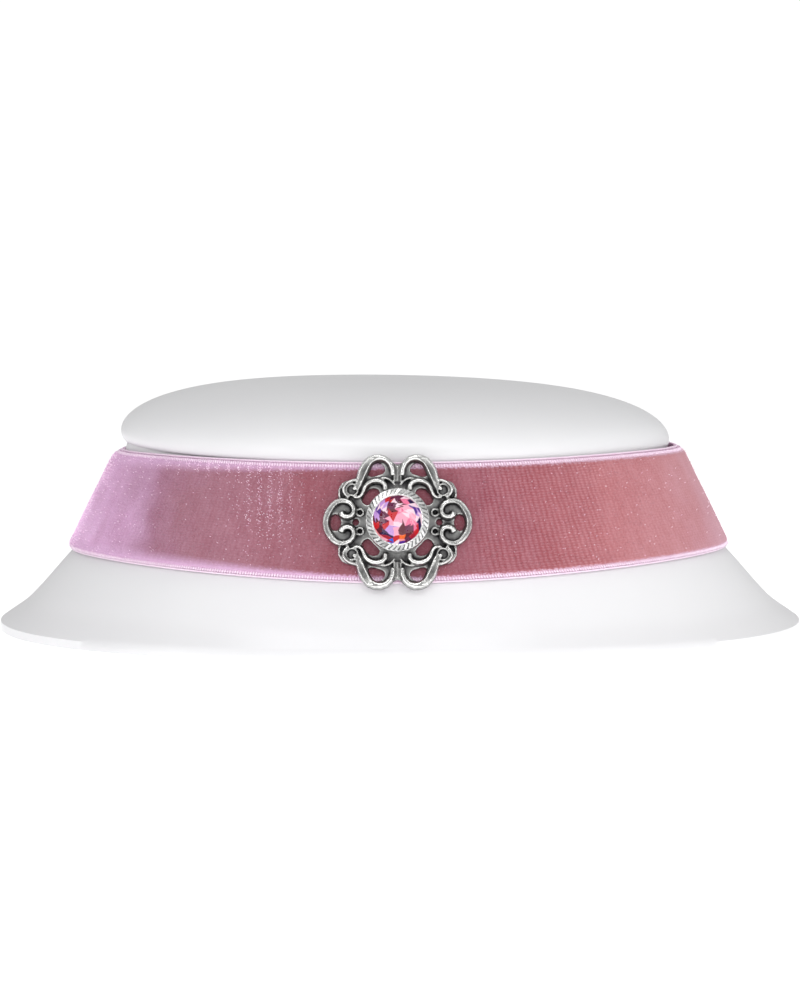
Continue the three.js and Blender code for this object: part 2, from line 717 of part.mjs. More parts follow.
// A round brilliant: table, crown of stars, kites and girdle facets, and a pointed pavilion.
function crystalGeometry() {
  const around = (radius, height, count, shift) => Array.from({ length: count }, (_, k) => {
    const angle = ((k + shift) / count) * turn;
    return new THREE.Vector3(radius * Math.cos(angle), radius * Math.sin(angle), height);
  });
  const eighth = Math.cos(turn / 16);
  const kiteRadius = mix(tableRadius, girdleRadius, 0.52);
  const kiteShare = (kiteRadius * eighth - tableRadius) / (girdleRadius - tableRadius);
  const table = around(tableRadius, girdleTop + crownHeight, 8, 0);
  const kites = around(kiteRadius, mix(girdleTop + crownHeight, girdleTop, kiteShare), 8, 0.5);
  const upper = around(girdleRadius, girdleTop, 16, 0);
  const lower = around(girdleRadius, girdleFoot, 16, 0);
  const mainRadius = 0.42 * girdleRadius;
  const mainShare = 1 - (mainRadius * eighth) / girdleRadius;
  const mains = around(mainRadius, mix(girdleFoot, culet, mainShare), 8, 0.5);
  const points = [
    new THREE.Vector3(0, 0, girdleTop + crownHeight), ...table, ...kites, ...upper, ...lower, ...mains,
    new THREE.Vector3(0, 0, culet),
  ];
  const [t, k, u, l, m, tip] = [1, 9, 17, 33, 49, 57];
  const triangles = [];
  for (let i = 0; i < 8; i += 1) {
    const [next, last, g] = [(i + 1) % 8, (i + 7) % 8, 2 * i];
    const [mid, far] = [g + 1, (g + 2) % 16];
    triangles.push([0, t + i, t + next], [t + i, k + i, t + next]);
    triangles.push([t + i, k + last, u + g], [t + i, u + g, k + i]);
    triangles.push([k + i, u + g, u + mid], [k + i, u + mid, u + far]);
    triangles.push([u + g, l + g, l + mid], [u + g, l + mid, u + mid]);
    triangles.push([u + mid, l + mid, l + far], [u + mid, l + far, u + far]);
    triangles.push([l + g, m + i, l + mid], [l + mid, m + i, l + far]);
    triangles.push([l + g, m + last, tip], [l + g, tip, m + i]);
  }
  if (volumeSign(points, triangles) < 0) triangles.forEach((face) => face.reverse());
  return meshFromTriangles(points, triangles);
}

// Assembly

const finishes = {
  gloss: { color: 0xf4f4f4, roughness: 0.25, metalness: 0 },
  velvet: { color: 0xb0707f, roughness: 1, metalness: 0 },
  antiqueSilver: { color: 0xa9a9a6, roughness: 0.35, metalness: 1 },
  brightSilver: { color: 0xd8d8d6, roughness: 0.2, metalness: 1 },
  rose: { color: 0xe0567a, roughness: 0.02, metalness: 0 },
};

function piece(name, geometry, finish) {
  const mesh = new THREE.Mesh(geometry, new THREE.MeshStandardMaterial(finishes[finish]));
  mesh.name = name;
  return mesh;
}

const necklace = new THREE.Group();
necklace.add(piece('neck_bust', bustGeometry(), 'gloss'));
necklace.add(piece('velvet_ribbon', ribbonGeometry(), 'velvet'));
necklace.add(piece('back_clasp', claspGeometry(), 'brightSilver'));

const ornament = new THREE.Group();
ornament.rotation.x = turn / 4 - lean;
ornament.position.copy(seatPoint());
ornament.add(piece('filigree', bent(flatCasting(), bendRadius), 'antiqueSilver'));
ornament.add(piece('bezel_cup', cupGeometry(), 'brightSilver'));
ornament.add(piece('crystal', crystalGeometry(), 'rose'));
necklace.add(ornament);

export default necklace;
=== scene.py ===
# %% [markdown]
# A velvet choker on the plain white bust that holds it. It has an elastic velvet ribbon
# with a woven selvedge along each edge, a pierced silver casting on its front, and a round
# crystal in a milled silver cup. The parts were measured and placed before, as plain
# solids that are called the frame here. This script gives each of them its real surface,
# and moves none of them.

import math

import bmesh
import bpy
import numpy as np
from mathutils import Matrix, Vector


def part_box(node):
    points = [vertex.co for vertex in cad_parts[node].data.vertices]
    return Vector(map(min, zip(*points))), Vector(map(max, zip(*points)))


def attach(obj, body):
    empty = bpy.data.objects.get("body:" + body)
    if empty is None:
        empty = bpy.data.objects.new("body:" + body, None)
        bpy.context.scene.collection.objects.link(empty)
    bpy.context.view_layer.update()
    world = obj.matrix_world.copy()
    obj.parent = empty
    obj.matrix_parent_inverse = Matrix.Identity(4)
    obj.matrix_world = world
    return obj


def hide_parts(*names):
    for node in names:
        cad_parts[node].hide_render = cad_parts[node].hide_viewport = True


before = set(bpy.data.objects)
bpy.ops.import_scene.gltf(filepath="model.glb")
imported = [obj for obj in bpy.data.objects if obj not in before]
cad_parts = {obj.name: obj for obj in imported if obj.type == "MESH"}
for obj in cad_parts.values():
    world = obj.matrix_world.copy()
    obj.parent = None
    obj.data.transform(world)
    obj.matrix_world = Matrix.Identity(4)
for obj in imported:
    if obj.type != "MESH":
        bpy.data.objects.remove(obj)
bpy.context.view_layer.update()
MM = 0.001
print("parts:", ", ".join(sorted(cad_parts)))

# %% [markdown]
# The camera stands 45 cm in front of the bust, a little above the ribbon, and looks
# slightly down, so the ribbon's far edge stays hidden and the cap shows its top. A long
# lens keeps the two ends of the ribbon nearly as wide as its middle.

# %% Camera
CAMERA_DISTANCE = 450 * MM
CAMERA_HEIGHT = 54.6 * MM
CAMERA_DIP = math.radians(4.094)
FOCAL_LENGTH = 87.9
NEAREST_SEEN = 10 * MM

scene = bpy.context.scene


def in_scene(name, data):
    """A new object of the scene that shows this data."""
    made = bpy.data.objects.new(name, data)
    scene.collection.objects.link(made)
    return made


camera = in_scene("camera", bpy.data.cameras.new("camera"))
camera.data.lens = FOCAL_LENGTH
camera.data.clip_start = NEAREST_SEEN
camera.location = (0, -CAMERA_DISTANCE, CAMERA_HEIGHT)
camera.rotation_euler = (math.pi / 2 - CAMERA_DIP, 0, 0)
scene.camera = camera
print(f"camera {CAMERA_DISTANCE:.3f} m away, {CAMERA_HEIGHT:.4f} m up")

# %% [markdown]
# Node trees get long when every node is placed and linked by hand. A small class wraps an
# output socket, so that sums and products of sockets can be written as plain Python, and
# each one adds its Math node. One method makes every other node. It sets the node's
# settings first, because some of them change which sockets the node has.

# %% Node trees as expressions
class Wire:
    """An output of a node. Python's operators on it add Math nodes to its tree."""

    def __init__(self, nodes, socket):
        self.nodes = nodes
        self.socket = socket

    def __add__(self, other):
        return self.nodes.math("ADD", self, other)

    def __sub__(self, other):
        return self.nodes.math("SUBTRACT", self, other)

    def __rsub__(self, other):
        return self.nodes.math("SUBTRACT", other, self)

    def __mul__(self, other):
        return self.nodes.math("MULTIPLY", self, other)

    def __truediv__(self, other):
        return self.nodes.math("DIVIDE", self, other)

    __radd__ = __add__
    __rmul__ = __mul__


class Nodes:
    """A node tree that is written as expressions."""

    def __init__(self, tree):
        self.tree = tree

    def add(self, kind, settings=None, inputs=None, output=0):
        made = self.tree.nodes.new(kind)
        for name, value in (settings or {}).items():
            if name == "stops":
                set_stops(made.color_ramp.elements, value)
            else:
                setattr(made, name, value)
        for name, value in (inputs or {}).items():
            if isinstance(value, Wire):
                self.tree.links.new(value.socket, made.inputs[name])
            else:
                made.inputs[name].default_value = value
        return Wire(self, made.outputs[output]) if made.outputs else None

    def math(self, operation, *values):
        return self.add("ShaderNodeMath", {"operation": operation}, dict(enumerate(values)))

    def axes(self, vector):
        split = self.add("ShaderNodeSeparateXYZ", None, {0: vector})
        return [Wire(self, output) for output in split.socket.node.outputs]


def set_stops(elements, stops):
    """Gives a colour ramp its stops, each a place from 0 to 1 and a colour."""
    while len(elements) < len(stops):
        elements.new(1)
    for element, (place, colour) in zip(elements, stops):
        element.position = place
        element.color = colour


def srgb(red, green, blue):
    """A colour as a screen shows it, 0 to 255, as the light values that shaders take."""
    screen = np.array([red, green, blue]) / 255
    light = np.where(screen < 0.04045, screen / 12.92, ((screen + 0.055) / 1.055) ** 2.4)
    return (*light.tolist(), 1)


# %% [markdown]
# Three kinds of pattern return in most of the finishes: a fade between two values, a blend
# of two colours, and fine noise. Each is a short function. Principled BSDF is the shader
# of every finish, and its fixed numbers are set on its own sockets.

# %% Patterns and finishes
def fade(nodes, value, start, end, low=0.0, high=1.0):
    """Runs smoothly from low to high as value goes from start to end."""
    settings = {"interpolation_type": "SMOOTHSTEP", "clamp": True}
    return nodes.add("ShaderNodeMapRange", settings, {0: value, 1: start, 2: end, 3: low, 4: high})


def blend(nodes, share, first, second, way="MIX"):
    """A mix of two colours, or one laid over the other in another way."""
    settings = {"data_type": "RGBA", "blend_type": way, "clamp_result": True}
    return nodes.add("ShaderNodeMix", settings, {0: share, 6: first, 7: second}, 2)


def noise(nodes, place, grain, detail=2.0, stretch=(1, 1, 1)):
    """Noise from 0 to 1 whose grains are so many metres across."""
    scaled = nodes.add("ShaderNodeMapping", {"vector_type": "POINT"},
                       {0: place, 3: [s / grain for s in stretch]})
    return nodes.add("ShaderNodeTexNoise", None, {"Vector": scaled, "Scale": 1.0, "Detail": detail})


def object_place(nodes):
    return nodes.add("ShaderNodeTexCoord", None, None, "Object")


def bump(nodes, height, depth):
    """A surface normal that a height from 0 to 1 shakes by so many metres."""
    return nodes.add("ShaderNodeBump", None, {"Strength": 1.0, "Distance": depth, "Height": height})


def finish_nodes(name):
    material = bpy.data.materials.new(name)
    material.use_nodes = True
    material.node_tree.nodes.clear()
    return material, Nodes(material.node_tree)


def close_finish(nodes, fixed, varying):
    """Adds the shader, with its fixed numbers and what changes over the surface."""
    surface = nodes.add("ShaderNodeBsdfPrincipled", None, {**fixed, **varying})
    nodes.add("ShaderNodeOutputMaterial", None, {"Surface": surface})


# %% [markdown]
# A product picture of this kind has a white floor, a white surround and large soft lights,
# and the white bust keeps soft edges. The surround is brighter to the camera than as a
# light, or the bust would have no shading. Silver is a mirror, so the lights are of two
# kinds: soft ones that only brighten, and narrow ones that only shine in glossy surfaces.

# %% Studio
FLOOR_HALF = 0.9
SURROUND_LIGHT = 0.5
SURROUND_SEEN = 1.05
FLOOR_GLOW = 0.62
LIGHT_AIM = (0, 0, 0.03)
BRIGHTENERS = {
    "front_softbox": dict(at=(0.02, -0.85, 0.30), size=(0.6, 0.4), watts=2.65),
    "left_fill": dict(at=(-0.60, -0.35, 0.25), size=(0.12, 0.5), watts=0.3),
    "right_fill": dict(at=(0.60, -0.30, 0.28), size=(0.12, 0.5), watts=0.85),
    "top_fill": dict(at=(0.05, 0.05, 0.80), size=(0.5, 0.4), watts=0.9),
}
GLINTS = {
    "top_glint": dict(at=(-0.04, -0.30, 0.46), size=(0.42, 0.12), watts=0.75),
    "left_glint": dict(at=(-0.42, -0.40, 0.12), size=(0.07, 0.40), watts=0.42),
    "right_glint": dict(at=(0.42, -0.40, 0.16), size=(0.06, 0.36), watts=0.30),
    "low_glint": dict(at=(0.06, -0.42, -0.24), size=(0.34, 0.07), watts=0.22),
}


def studio_floor():
    material, nodes = finish_nodes("studio_floor")
    shade = noise(nodes, object_place(nodes), 0.2)
    colour = blend(nodes, shade, srgb(250, 250, 250), srgb(247, 247, 248))
    fixed = {"Roughness": 0.9, "Emission Strength": FLOOR_GLOW}
    close_finish(nodes, fixed, {"Base Color": colour, "Emission Color": colour})
    corners = [(-FLOOR_HALF, -FLOOR_HALF, 0), (FLOOR_HALF, -FLOOR_HALF, 0),
               (FLOOR_HALF, FLOOR_HALF, 0), (-FLOOR_HALF, FLOOR_HALF, 0)]
    mesh = bpy.data.meshes.new("studio_floor")
    mesh.from_pydata(corners, [], [(0, 1, 2, 3)])
    mesh.materials.append(material)
    in_scene("studio_floor", mesh)


def surround():
    world = bpy.data.worlds.new("surround")
    world.use_nodes = True
    world.node_tree.nodes.clear()
    nodes = Nodes(world.node_tree)
    seen = nodes.add("ShaderNodeLightPath", None, None, "Is Camera Ray")
    strength = seen * (SURROUND_SEEN - SURROUND_LIGHT) + SURROUND_LIGHT
    light = nodes.add("ShaderNodeBackground", None, {"Color": (1, 1, 1, 1), "Strength": strength})
    nodes.add("ShaderNodeOutputWorld", None, {"Surface": light})
    scene.world = world


def softbox(name, at, size, watts, glossy):
    light = bpy.data.lights.new(name, "AREA")
    light.shape = "RECTANGLE"
    light.size, light.size_y = size
    light.energy = watts
    lamp = in_scene(name, light)
    lamp.location = at
    lamp.rotation_euler = (Vector(LIGHT_AIM) - Vector(at)).to_track_quat("-Z", "Y").to_euler()
    lamp.visible_glossy = glossy
    lamp.visible_diffuse = not glossy


studio_floor()
surround()
for lamps, glossy in ((BRIGHTENERS, False), (GLINTS, True)):
    for name, settings in lamps.items():
        softbox(name, **settings, glossy=glossy)
scene.view_settings.view_transform = "Standard"
print(f"{len(BRIGHTENERS)} soft lights and {len(GLINTS)} glints over a white floor")

# %% [markdown]
# Most pieces here are made the same way: rings of points, one after the other, joined by
# faces, with a flat face at both ends. Small helpers do what comes after: they turn the
# faces outwards, shade them, make plain mesh of what a modifier shows, and hand the piece
# over in place of its plain solid.

# %% Meshes from rings
SAME_POINT = 1e-7


def object_from(name, points, faces, materials):
    mesh = bpy.data.meshes.new(name)
    mesh.from_pydata(np.asarray(points).reshape(-1, 3).tolist(), [], faces)
    for material in materials:
        mesh.materials.append(material)
    return in_scene(name, mesh)


def ring_faces(rows, columns):
    """Faces between rings of points that each close on themselves, and two flat ends."""
    faces = []
    for ring in range(0, (rows - 1) * columns, columns):
        for c in range(columns):
            d = (c + 1) % columns
            faces.append((ring + c, ring + d, ring + columns + d, ring + columns + c))
    faces.append(tuple(range(columns))[::-1])
    faces.append(tuple(range((rows - 1) * columns, rows * columns)))
    return faces


def face_out(piece):
    """Merges doubled points and turns every face outwards."""
    mesh = bmesh.new()
    mesh.from_mesh(piece.data)
    bmesh.ops.remove_doubles(mesh, verts=mesh.verts, dist=SAME_POINT)
    bmesh.ops.recalc_face_normals(mesh, faces=mesh.faces)
    mesh.to_mesh(piece.data)
    mesh.free()
    return piece


# %% Shading and handing over
def shade_smooth(piece, sharp_from=60):
    """Smooth shading, with edges sharper than so many degrees left crisp."""
    mesh = piece.data
    mesh.shade_smooth()
    mesh.set_sharp_from_angle(angle=math.radians(sharp_from))
    return piece


def applied(piece):
    """Turns what the modifiers make into the piece's plain mesh, and removes them."""
    evaluated = piece.evaluated_get(bpy.context.evaluated_depsgraph_get())
    mesh = bpy.data.meshes.new_from_object(evaluated)
    piece.modifiers.clear()
    piece.data = mesh
    return piece


def keep_on_points(mesh, label, values):
    """Keeps a number or a direction for each point of a mesh, under a name."""
    values = np.asarray(values, np.float32)
    kind, field = ("FLOAT_VECTOR", "vector") if values.ndim == 2 else ("FLOAT", "value")
    mesh.attributes.new(label, kind, "POINT").data.foreach_set(field, values.ravel())


def hand_over(piece, slot, *nodes):
    """The finished piece rides with the frame, in place of the plain nodes."""
    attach(piece, "root")
    if nodes:
        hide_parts(*nodes)
    triangles = sum(len(face.vertices) - 2 for face in piece.data.polygons)
    print(f"{piece.name}: {triangles} triangles")


# %% [markdown]
# The bust is a white moulded stand: a sloping pair of shoulders, a short oval neck, a thin
# crease, and a cap that leans a little forward. Its plan is nearly an ellipse at every
# height, so one function gives any point on it. The ribbon lies on the same surface, and
# uses the same function with a distance added.

# %% The bust's surface
BUST_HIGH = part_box("neck_bust")[1]
BASE_HALF_WIDTH = BUST_HIGH.x
BASE_HALF_DEPTH = BUST_HIGH.y
NECK_HALF_WIDTH = 49.8 * MM
NECK_HALF_DEPTH = 46 * MM
FOOT_HEIGHT = 1.5 * MM
CREASE_HEIGHT = 32.9 * MM
SHOULDER_SQUARENESS = 0.3
# Share of the way up from the foot to the crease, and of the way out to the base
SHOULDER_ROWS = np.array([
    (0, 1), (0.1, 0.8), (0.21, 0.66), (0.33, 0.52), (0.45, 0.37), (0.58, 0.276),
    (0.71, 0.18), (0.84, 0.086), (0.92, 0.034), (1, 0),
])
ROUNDED_POINTS = 400
ROUNDING_STEPS = 24


def mix(start, end, share):
    return start + (end - start) * share


def rounded_rows():
    """The rows above joined by straight lines, then rounded by a running average."""
    up = np.linspace(0, 1, ROUNDED_POINTS)
    spread = np.interp(up, *SHOULDER_ROWS.T)
    padded = np.pad(spread, ROUNDING_STEPS, "reflect", reflect_type="odd")
    window = np.hanning(2 * ROUNDING_STEPS + 1)
    return up, np.convolve(padded, window / window.sum(), "valid")


ROUNDED_UP, ROUNDED_SPREAD = rounded_rows()


def spread_at(height):
    up = (height - FOOT_HEIGHT) / (CREASE_HEIGHT - FOOT_HEIGHT)
    return np.interp(up, ROUNDED_UP, ROUNDED_SPREAD)


def plan_points(angle, half_width, half_depth, spread, height):
    power = 2 / (2 + SHOULDER_SQUARENESS * spread)
    c, s = np.cos(angle), np.sin(angle)
    x = half_width * np.sign(c) * np.abs(c) ** power
    y = half_depth * np.sign(s) * np.abs(s) ** power
    return np.stack([x, y, height + 0 * x], -1)


def on_bust(angle, height, offset=0.0):
    """Points so far out from the bust's surface, at some angles and heights."""
    spread = spread_at(height)
    half_width = mix(NECK_HALF_WIDTH, BASE_HALF_WIDTH, spread) + offset
    half_depth = mix(NECK_HALF_DEPTH, BASE_HALF_DEPTH, spread) + offset
    return plan_points(angle, half_width, half_depth, spread, height)


print(f"base {2 * BASE_HALF_WIDTH / MM:.0f} mm wide, neck {2 * NECK_HALF_WIDTH / MM:.0f} mm")

# %% [markdown]
# Moulded gloss plastic is nearly one colour. What makes it real is its soft gloss and the
# faint waviness of a thick casting, so the finish has a very low bump and a roughness that
# drifts a little.

# %% Gloss plastic
def gloss_plastic():
    material, nodes = finish_nodes("white_gloss")
    place = object_place(nodes)
    drift = noise(nodes, place, 30 * MM)
    colour = blend(nodes, drift, srgb(226, 226, 228), srgb(232, 232, 233))
    skin = noise(nodes, place, 4 * MM, 3)
    varying = {
        "Base Color": colour,
        "Roughness": drift * 0.08 + 0.3,
        "Normal": bump(nodes, skin, 0.012 * MM),
    }
    close_finish(nodes, {"IOR": 1.48, "Specular IOR Level": 0.45}, varying)
    return material


# %% [markdown]
# The shoulders and the neck are rings on the bust's surface. Just under the cap the neck is
# drawn in, which leaves the dark crease, and its last rings lean over into the slant of
# the cap. The cap itself is a quarter round for its lip and a flat dome above it.

# %% The bust
BUST_STATIONS = 256
NECK_ROWS = 56
LIP_ROWS = 14
DOME_ROWS = 44
CAP_OVERHANG = 0.5 * MM
CREASE_DEPTH = 0.7 * MM
CREASE_RISE = 0.2 * MM
NECK_INSET = 0.65 * MM
SETTLE_POWER = 12
LIP_RISE = 1.7 * MM
DOME_RISE = 9.8 * MM
CAP_FRONT_DROP = 1.9 * MM
CAP_SIDE_TILT = 0.0165
CAP_SHIFT = 0.9 * MM
DOME_POWER = 3.2


def slanted(points, rise):
    """The cap is lower in front and on its right, and stands a little to the left."""
    slope = CAP_FRONT_DROP / NECK_HALF_DEPTH * points[..., 1] - CAP_SIDE_TILT * points[..., 0]
    return points + np.stack([0 * slope - CAP_SHIFT, 0 * slope, slope + rise], -1)


def cap_ring(angles, overhang, share, rise):
    half_width = (NECK_HALF_WIDTH + overhang) * share
    half_depth = (NECK_HALF_DEPTH + overhang) * share
    return slanted(plan_points(angles, half_width, half_depth, 0, CREASE_HEIGHT), rise)


def bust_rings():
    angles = np.arange(BUST_STATIONS) / BUST_STATIONS * 2 * math.pi
    rings = [plan_points(angles, BASE_HALF_WIDTH, BASE_HALF_DEPTH, 1, 0)]
    for height in np.linspace(FOOT_HEIGHT, CREASE_HEIGHT, NECK_ROWS):
        settle = ((height - FOOT_HEIGHT) / (CREASE_HEIGHT - FOOT_HEIGHT)) ** SETTLE_POWER
        ring = on_bust(angles, height, -NECK_INSET * settle)
        rings.append(mix(ring, slanted(ring, 0), settle))
    for bend in np.radians(np.linspace(-90, 0, LIP_ROWS)):
        inset = (CAP_OVERHANG + CREASE_DEPTH) * (1 - math.cos(bend))
        rise = CREASE_RISE + LIP_RISE * (1 + math.sin(bend))
        rings.append(cap_ring(angles, CAP_OVERHANG - inset, 1, rise))
    for bend in np.radians(np.linspace(2, 89.5, DOME_ROWS)):
        share = math.cos(bend) ** (2 / DOME_POWER)
        rise = CREASE_RISE + LIP_RISE + DOME_RISE * math.sin(bend)
        rings.append(cap_ring(angles, CAP_OVERHANG, share, rise))
    return rings


rings = bust_rings()
bust = object_from("display_bust", rings, ring_faces(len(rings), BUST_STATIONS), [gloss_plastic()])
shade_smooth(face_out(bust), 50)
hand_over(bust, "white_gloss", "neck_bust")

# %% [markdown]
# The ribbon is 20 mm wide and stretched round the neck. Seen along its length it is a
# strip with two thin woven edges and a thicker velvet middle, whose pile rounds off into
# them. The strip is swept round the neck, and a map in millimetres goes with it, along the
# ribbon and down its width, so that weave and pile follow it.

# %% The ribbon's path
RIBBON_WIDTH = 20 * MM
RIBBON_TOP = CREASE_HEIGHT - 0.9 * MM
RIBBON_TILT = 0.0065
RIBBON_SIDE_RISE = 1.05 * MM
SIDE_EASE = 0.55
TOP_GAP = 1.0 * MM
REST_GAP = 0.3 * MM
TOP_TUCK = 0.6 * MM
TUCK_SHARE = 0.2
CLASP_STAND_OFF = 1.2 * MM
CLASP_HALF_WIDTH = 5 * MM
CLASP_EASE = 34 * MM
RIBBON_END = 2.6 * MM
RIBBON_STATIONS = 900
HALVINGS = 24
BACK = math.pi / 2


def ribbon_heights(angle):
    """Heights of the ribbon's edges: the lower one is found by halving the way to it."""
    across = on_bust(angle, RIBBON_TOP)[..., 0]
    share = across / NECK_HALF_WIDTH
    rise = RIBBON_SIDE_RISE * (share ** 2 - SIDE_EASE * share ** 8)
    top = RIBBON_TOP + RIBBON_TILT * across + rise
    start = on_bust(angle, top, TOP_GAP)
    high, low = top, top - RIBBON_WIDTH
    for _ in range(HALVINGS):
        middle = (high + low) / 2
        gap = mix(TOP_GAP, REST_GAP, (top - middle) / RIBBON_WIDTH)
        short = np.linalg.norm(on_bust(angle, middle, gap) - start, axis=-1) < RIBBON_WIDTH
        high, low = np.where(short, middle, high), np.where(short, low, middle)
    return top, low


def stand_off(angle, share):
    """How far the ribbon lies from the neck: further at its top and in the clasp."""
    from_front = (angle - BACK) % (2 * math.pi) - math.pi
    beside = (math.pi - np.abs(from_front)) * NECK_HALF_WIDTH - CLASP_HALF_WIDTH
    ease = np.clip(beside / CLASP_EASE, 0, 1)
    tuck = TOP_TUCK * np.clip(1 - share / TUCK_SHARE, 0, 1) ** 2
    resting = mix(TOP_GAP, REST_GAP, share) - tuck
    return mix(CLASP_STAND_OFF, resting, ease * ease * (3 - 2 * ease))


def on_ribbon(angle, down, out):
    """Points of the ribbon: an angle round the neck, down its width, out from its back."""
    top, low = ribbon_heights(angle)
    share = down / RIBBON_WIDTH
    return on_bust(angle, mix(top, low, share), stand_off(angle, share) + out)


end_angle = math.asin(RIBBON_END / NECK_HALF_DEPTH)
ribbon_angles = np.linspace(BACK + end_angle, BACK + 2 * math.pi - end_angle, RIBBON_STATIONS)
middle_line = on_ribbon(ribbon_angles, RIBBON_WIDTH / 2, 0.0)
steps = np.linalg.norm(np.diff(middle_line, axis=0), axis=1)
ribbon_along = np.concatenate([[0], np.cumsum(steps)])
ribbon_length = float(ribbon_along[-1])
ribbon_along = ribbon_along - ribbon_length / 2
print(f"ribbon {ribbon_length / MM:.1f} mm long")

# %% The ribbon's cross-section
SELVEDGE_WIDTH = 0.84 * MM
SELVEDGE_THICKNESS = 0.95 * MM
PILE_THICKNESS = 1.42 * MM
PILE_SHOULDER = 1.0 * MM
PILE_CROWN = 0.1 * MM
EDGE_BENDS = (0, 40, 75, 105, 140)
SHOULDER_STEPS = 9
FLAT_STEPS = 14
BACK_STEPS = 12


def half_section():
    """Down and out, from the back of the top edge to the front of the ribbon's middle.

    The edge slants up under the front of the selvedge, which stands over it as a lip.
    """
    slant = [SELVEDGE_THICKNESS / 2 * (1 - math.cos(t)) for t in np.radians(EDGE_BENDS)]
    edge = [(step, step) for step in slant]
    selvedge = [(down, SELVEDGE_THICKNESS) for down in np.linspace(0.5, 1, 3) * SELVEDGE_WIDTH]
    rise = PILE_THICKNESS - SELVEDGE_THICKNESS
    shoulder = [(SELVEDGE_WIDTH + PILE_SHOULDER * (1 - math.cos(t)), SELVEDGE_THICKNESS + rise * math.sin(t))
                for t in np.radians(np.linspace(8, 90, SHOULDER_STEPS))]
    start = shoulder[-1][0]
    flat = [(mix(start, RIBBON_WIDTH / 2, s), PILE_THICKNESS + PILE_CROWN * math.sin(s * math.pi / 2))
            for s in np.linspace(0, 1, FLAT_STEPS)[1:]]
    return np.array(edge + selvedge + shoulder + flat)


top_half = half_section()
bottom_half = top_half[-2::-1] * (-1, 1) + (RIBBON_WIDTH, 0)
back_downs = np.linspace(RIBBON_WIDTH, 0, BACK_STEPS)[1:-1]
ribbon_section = np.concatenate([top_half, bottom_half, [(down, 0) for down in back_downs]])
front_count = len(top_half) + len(bottom_half)
print(f"{len(ribbon_section)} points round the ribbon's section")

# %% [markdown]
# Velvet is a cut pile: short upright fibres over a woven ground. Seen straight on, the eye
# looks down between the fibres into deep colour, and seen from the side it meets their
# shiny flanks, so velvet is palest where it turns away. Brushing also lays the pile over
# in patches. The finish has a true sheen, and also paints sheen into its colour: the colour
# drifts along the ribbon from lilac, painted sheen where the pile leans away, to deep rose
# and to a lighter rose. Rows of tufts show where the pile stands up. Towards both edges the
# pile turns away, and painted sheen makes it pale there: a wide lilac band at the left, and
# a narrow pink one at the right.

# %% Colours of the velvet
WEAVE_MAP = "weave"
TUFT_PITCH = 0.9
TUFT_STEP = 0.46
TUFTED = (10 * MM, 15 * MM, 31 * MM, 38 * MM)
YARN_PITCH = 0.44
FLOAT_PITCH = 0.9
SHEEN_STARTS = 0.9
SHEEN_ENDS = (3.4, 1.2)
EDGE_SHEEN = (0.4, 1.15)
# LILAC and PALE_ROSE tint the painted sheen at the pile's edges, and PALE_LILAC is the palest painted sheen
LILAC = srgb(220, 180, 216)
PALE_LILAC = srgb(244, 222, 239)
PALE_ROSE = srgb(216, 180, 199)
# Colours of the pile from the left end of the ribbon's front to the right; the lilac at the left end is
# painted sheen
ROSE_AND_SHEEN_DRIFT = [
    (0.07, srgb(240, 204, 238)), (0.12, srgb(214, 170, 206)), (0.16, srgb(193, 149, 180)),
    (0.19, srgb(170, 119, 144)), (0.25, srgb(162, 108, 123)), (0.33, srgb(161, 103, 116)),
    (0.39, srgb(148, 79, 89)), (0.60, srgb(152, 83, 94)), (0.68, srgb(165, 92, 98)),
    (0.76, srgb(183, 113, 116)), (0.86, srgb(191, 129, 133)), (0.95, srgb(202, 152, 164)),
]
DRIFT_SPAN = 134 * MM


def weave_place(nodes):
    """Millimetres along the ribbon and down its width."""
    along, down, _ = nodes.axes(nodes.add("ShaderNodeUVMap", {"uv_map": WEAVE_MAP}))
    return along, down


def tuft_rows(nodes, x, along, down, wobble):
    """Upright columns of tufts, plainest a little to the right of the ornament."""
    across = nodes.math("SINE", (along / TUFT_PITCH + wobble * 0.5) * (2 * math.pi))
    dots = nodes.math("SINE", (down / TUFT_STEP + wobble * 0.9) * (2 * math.pi))
    plain = fade(nodes, x, *TUFTED[:2]) * fade(nodes, x, *TUFTED[2:], 1, 0) * 0.7 + 0.3
    return (across * 0.2 + dots * 0.16 + across * dots * 0.1) * plain + 0.5


def pile_colour_and_sheen(nodes, place, from_edge, fluff):
    """Rose that drifts along the ribbon's front from painted lilac sheen at its left end, and painted lilac
    sheen where the pile meets its edges.
    """
    x = nodes.axes(place)[0]
    blotch = noise(nodes, place, 9 * MM, 3)
    share = x / DRIFT_SPAN + 0.5 + (blotch - 0.5) * 0.12
    drift = nodes.add("ShaderNodeValToRGB", {"stops": ROSE_AND_SHEEN_DRIFT}, {0: share})
    # Painted sheen: pale where the pile rounds off towards its edges, widest at the left end
    reach = fade(nodes, x, -52 * MM, 4 * MM, *SHEEN_ENDS)
    shoulder = fade(nodes, from_edge + (fluff - 0.5) * 1.2, SHEEN_STARTS, reach, 0.9, 0)
    border = fade(nodes, from_edge + (fluff - 0.5) * 0.8, *EDGE_SHEEN, 0.6, 0)
    sheen_tint = blend(nodes, fade(nodes, x, -15 * MM, 25 * MM), LILAC, PALE_ROSE)
    return blend(nodes, border, blend(nodes, shoulder, drift, sheen_tint), PALE_LILAC)


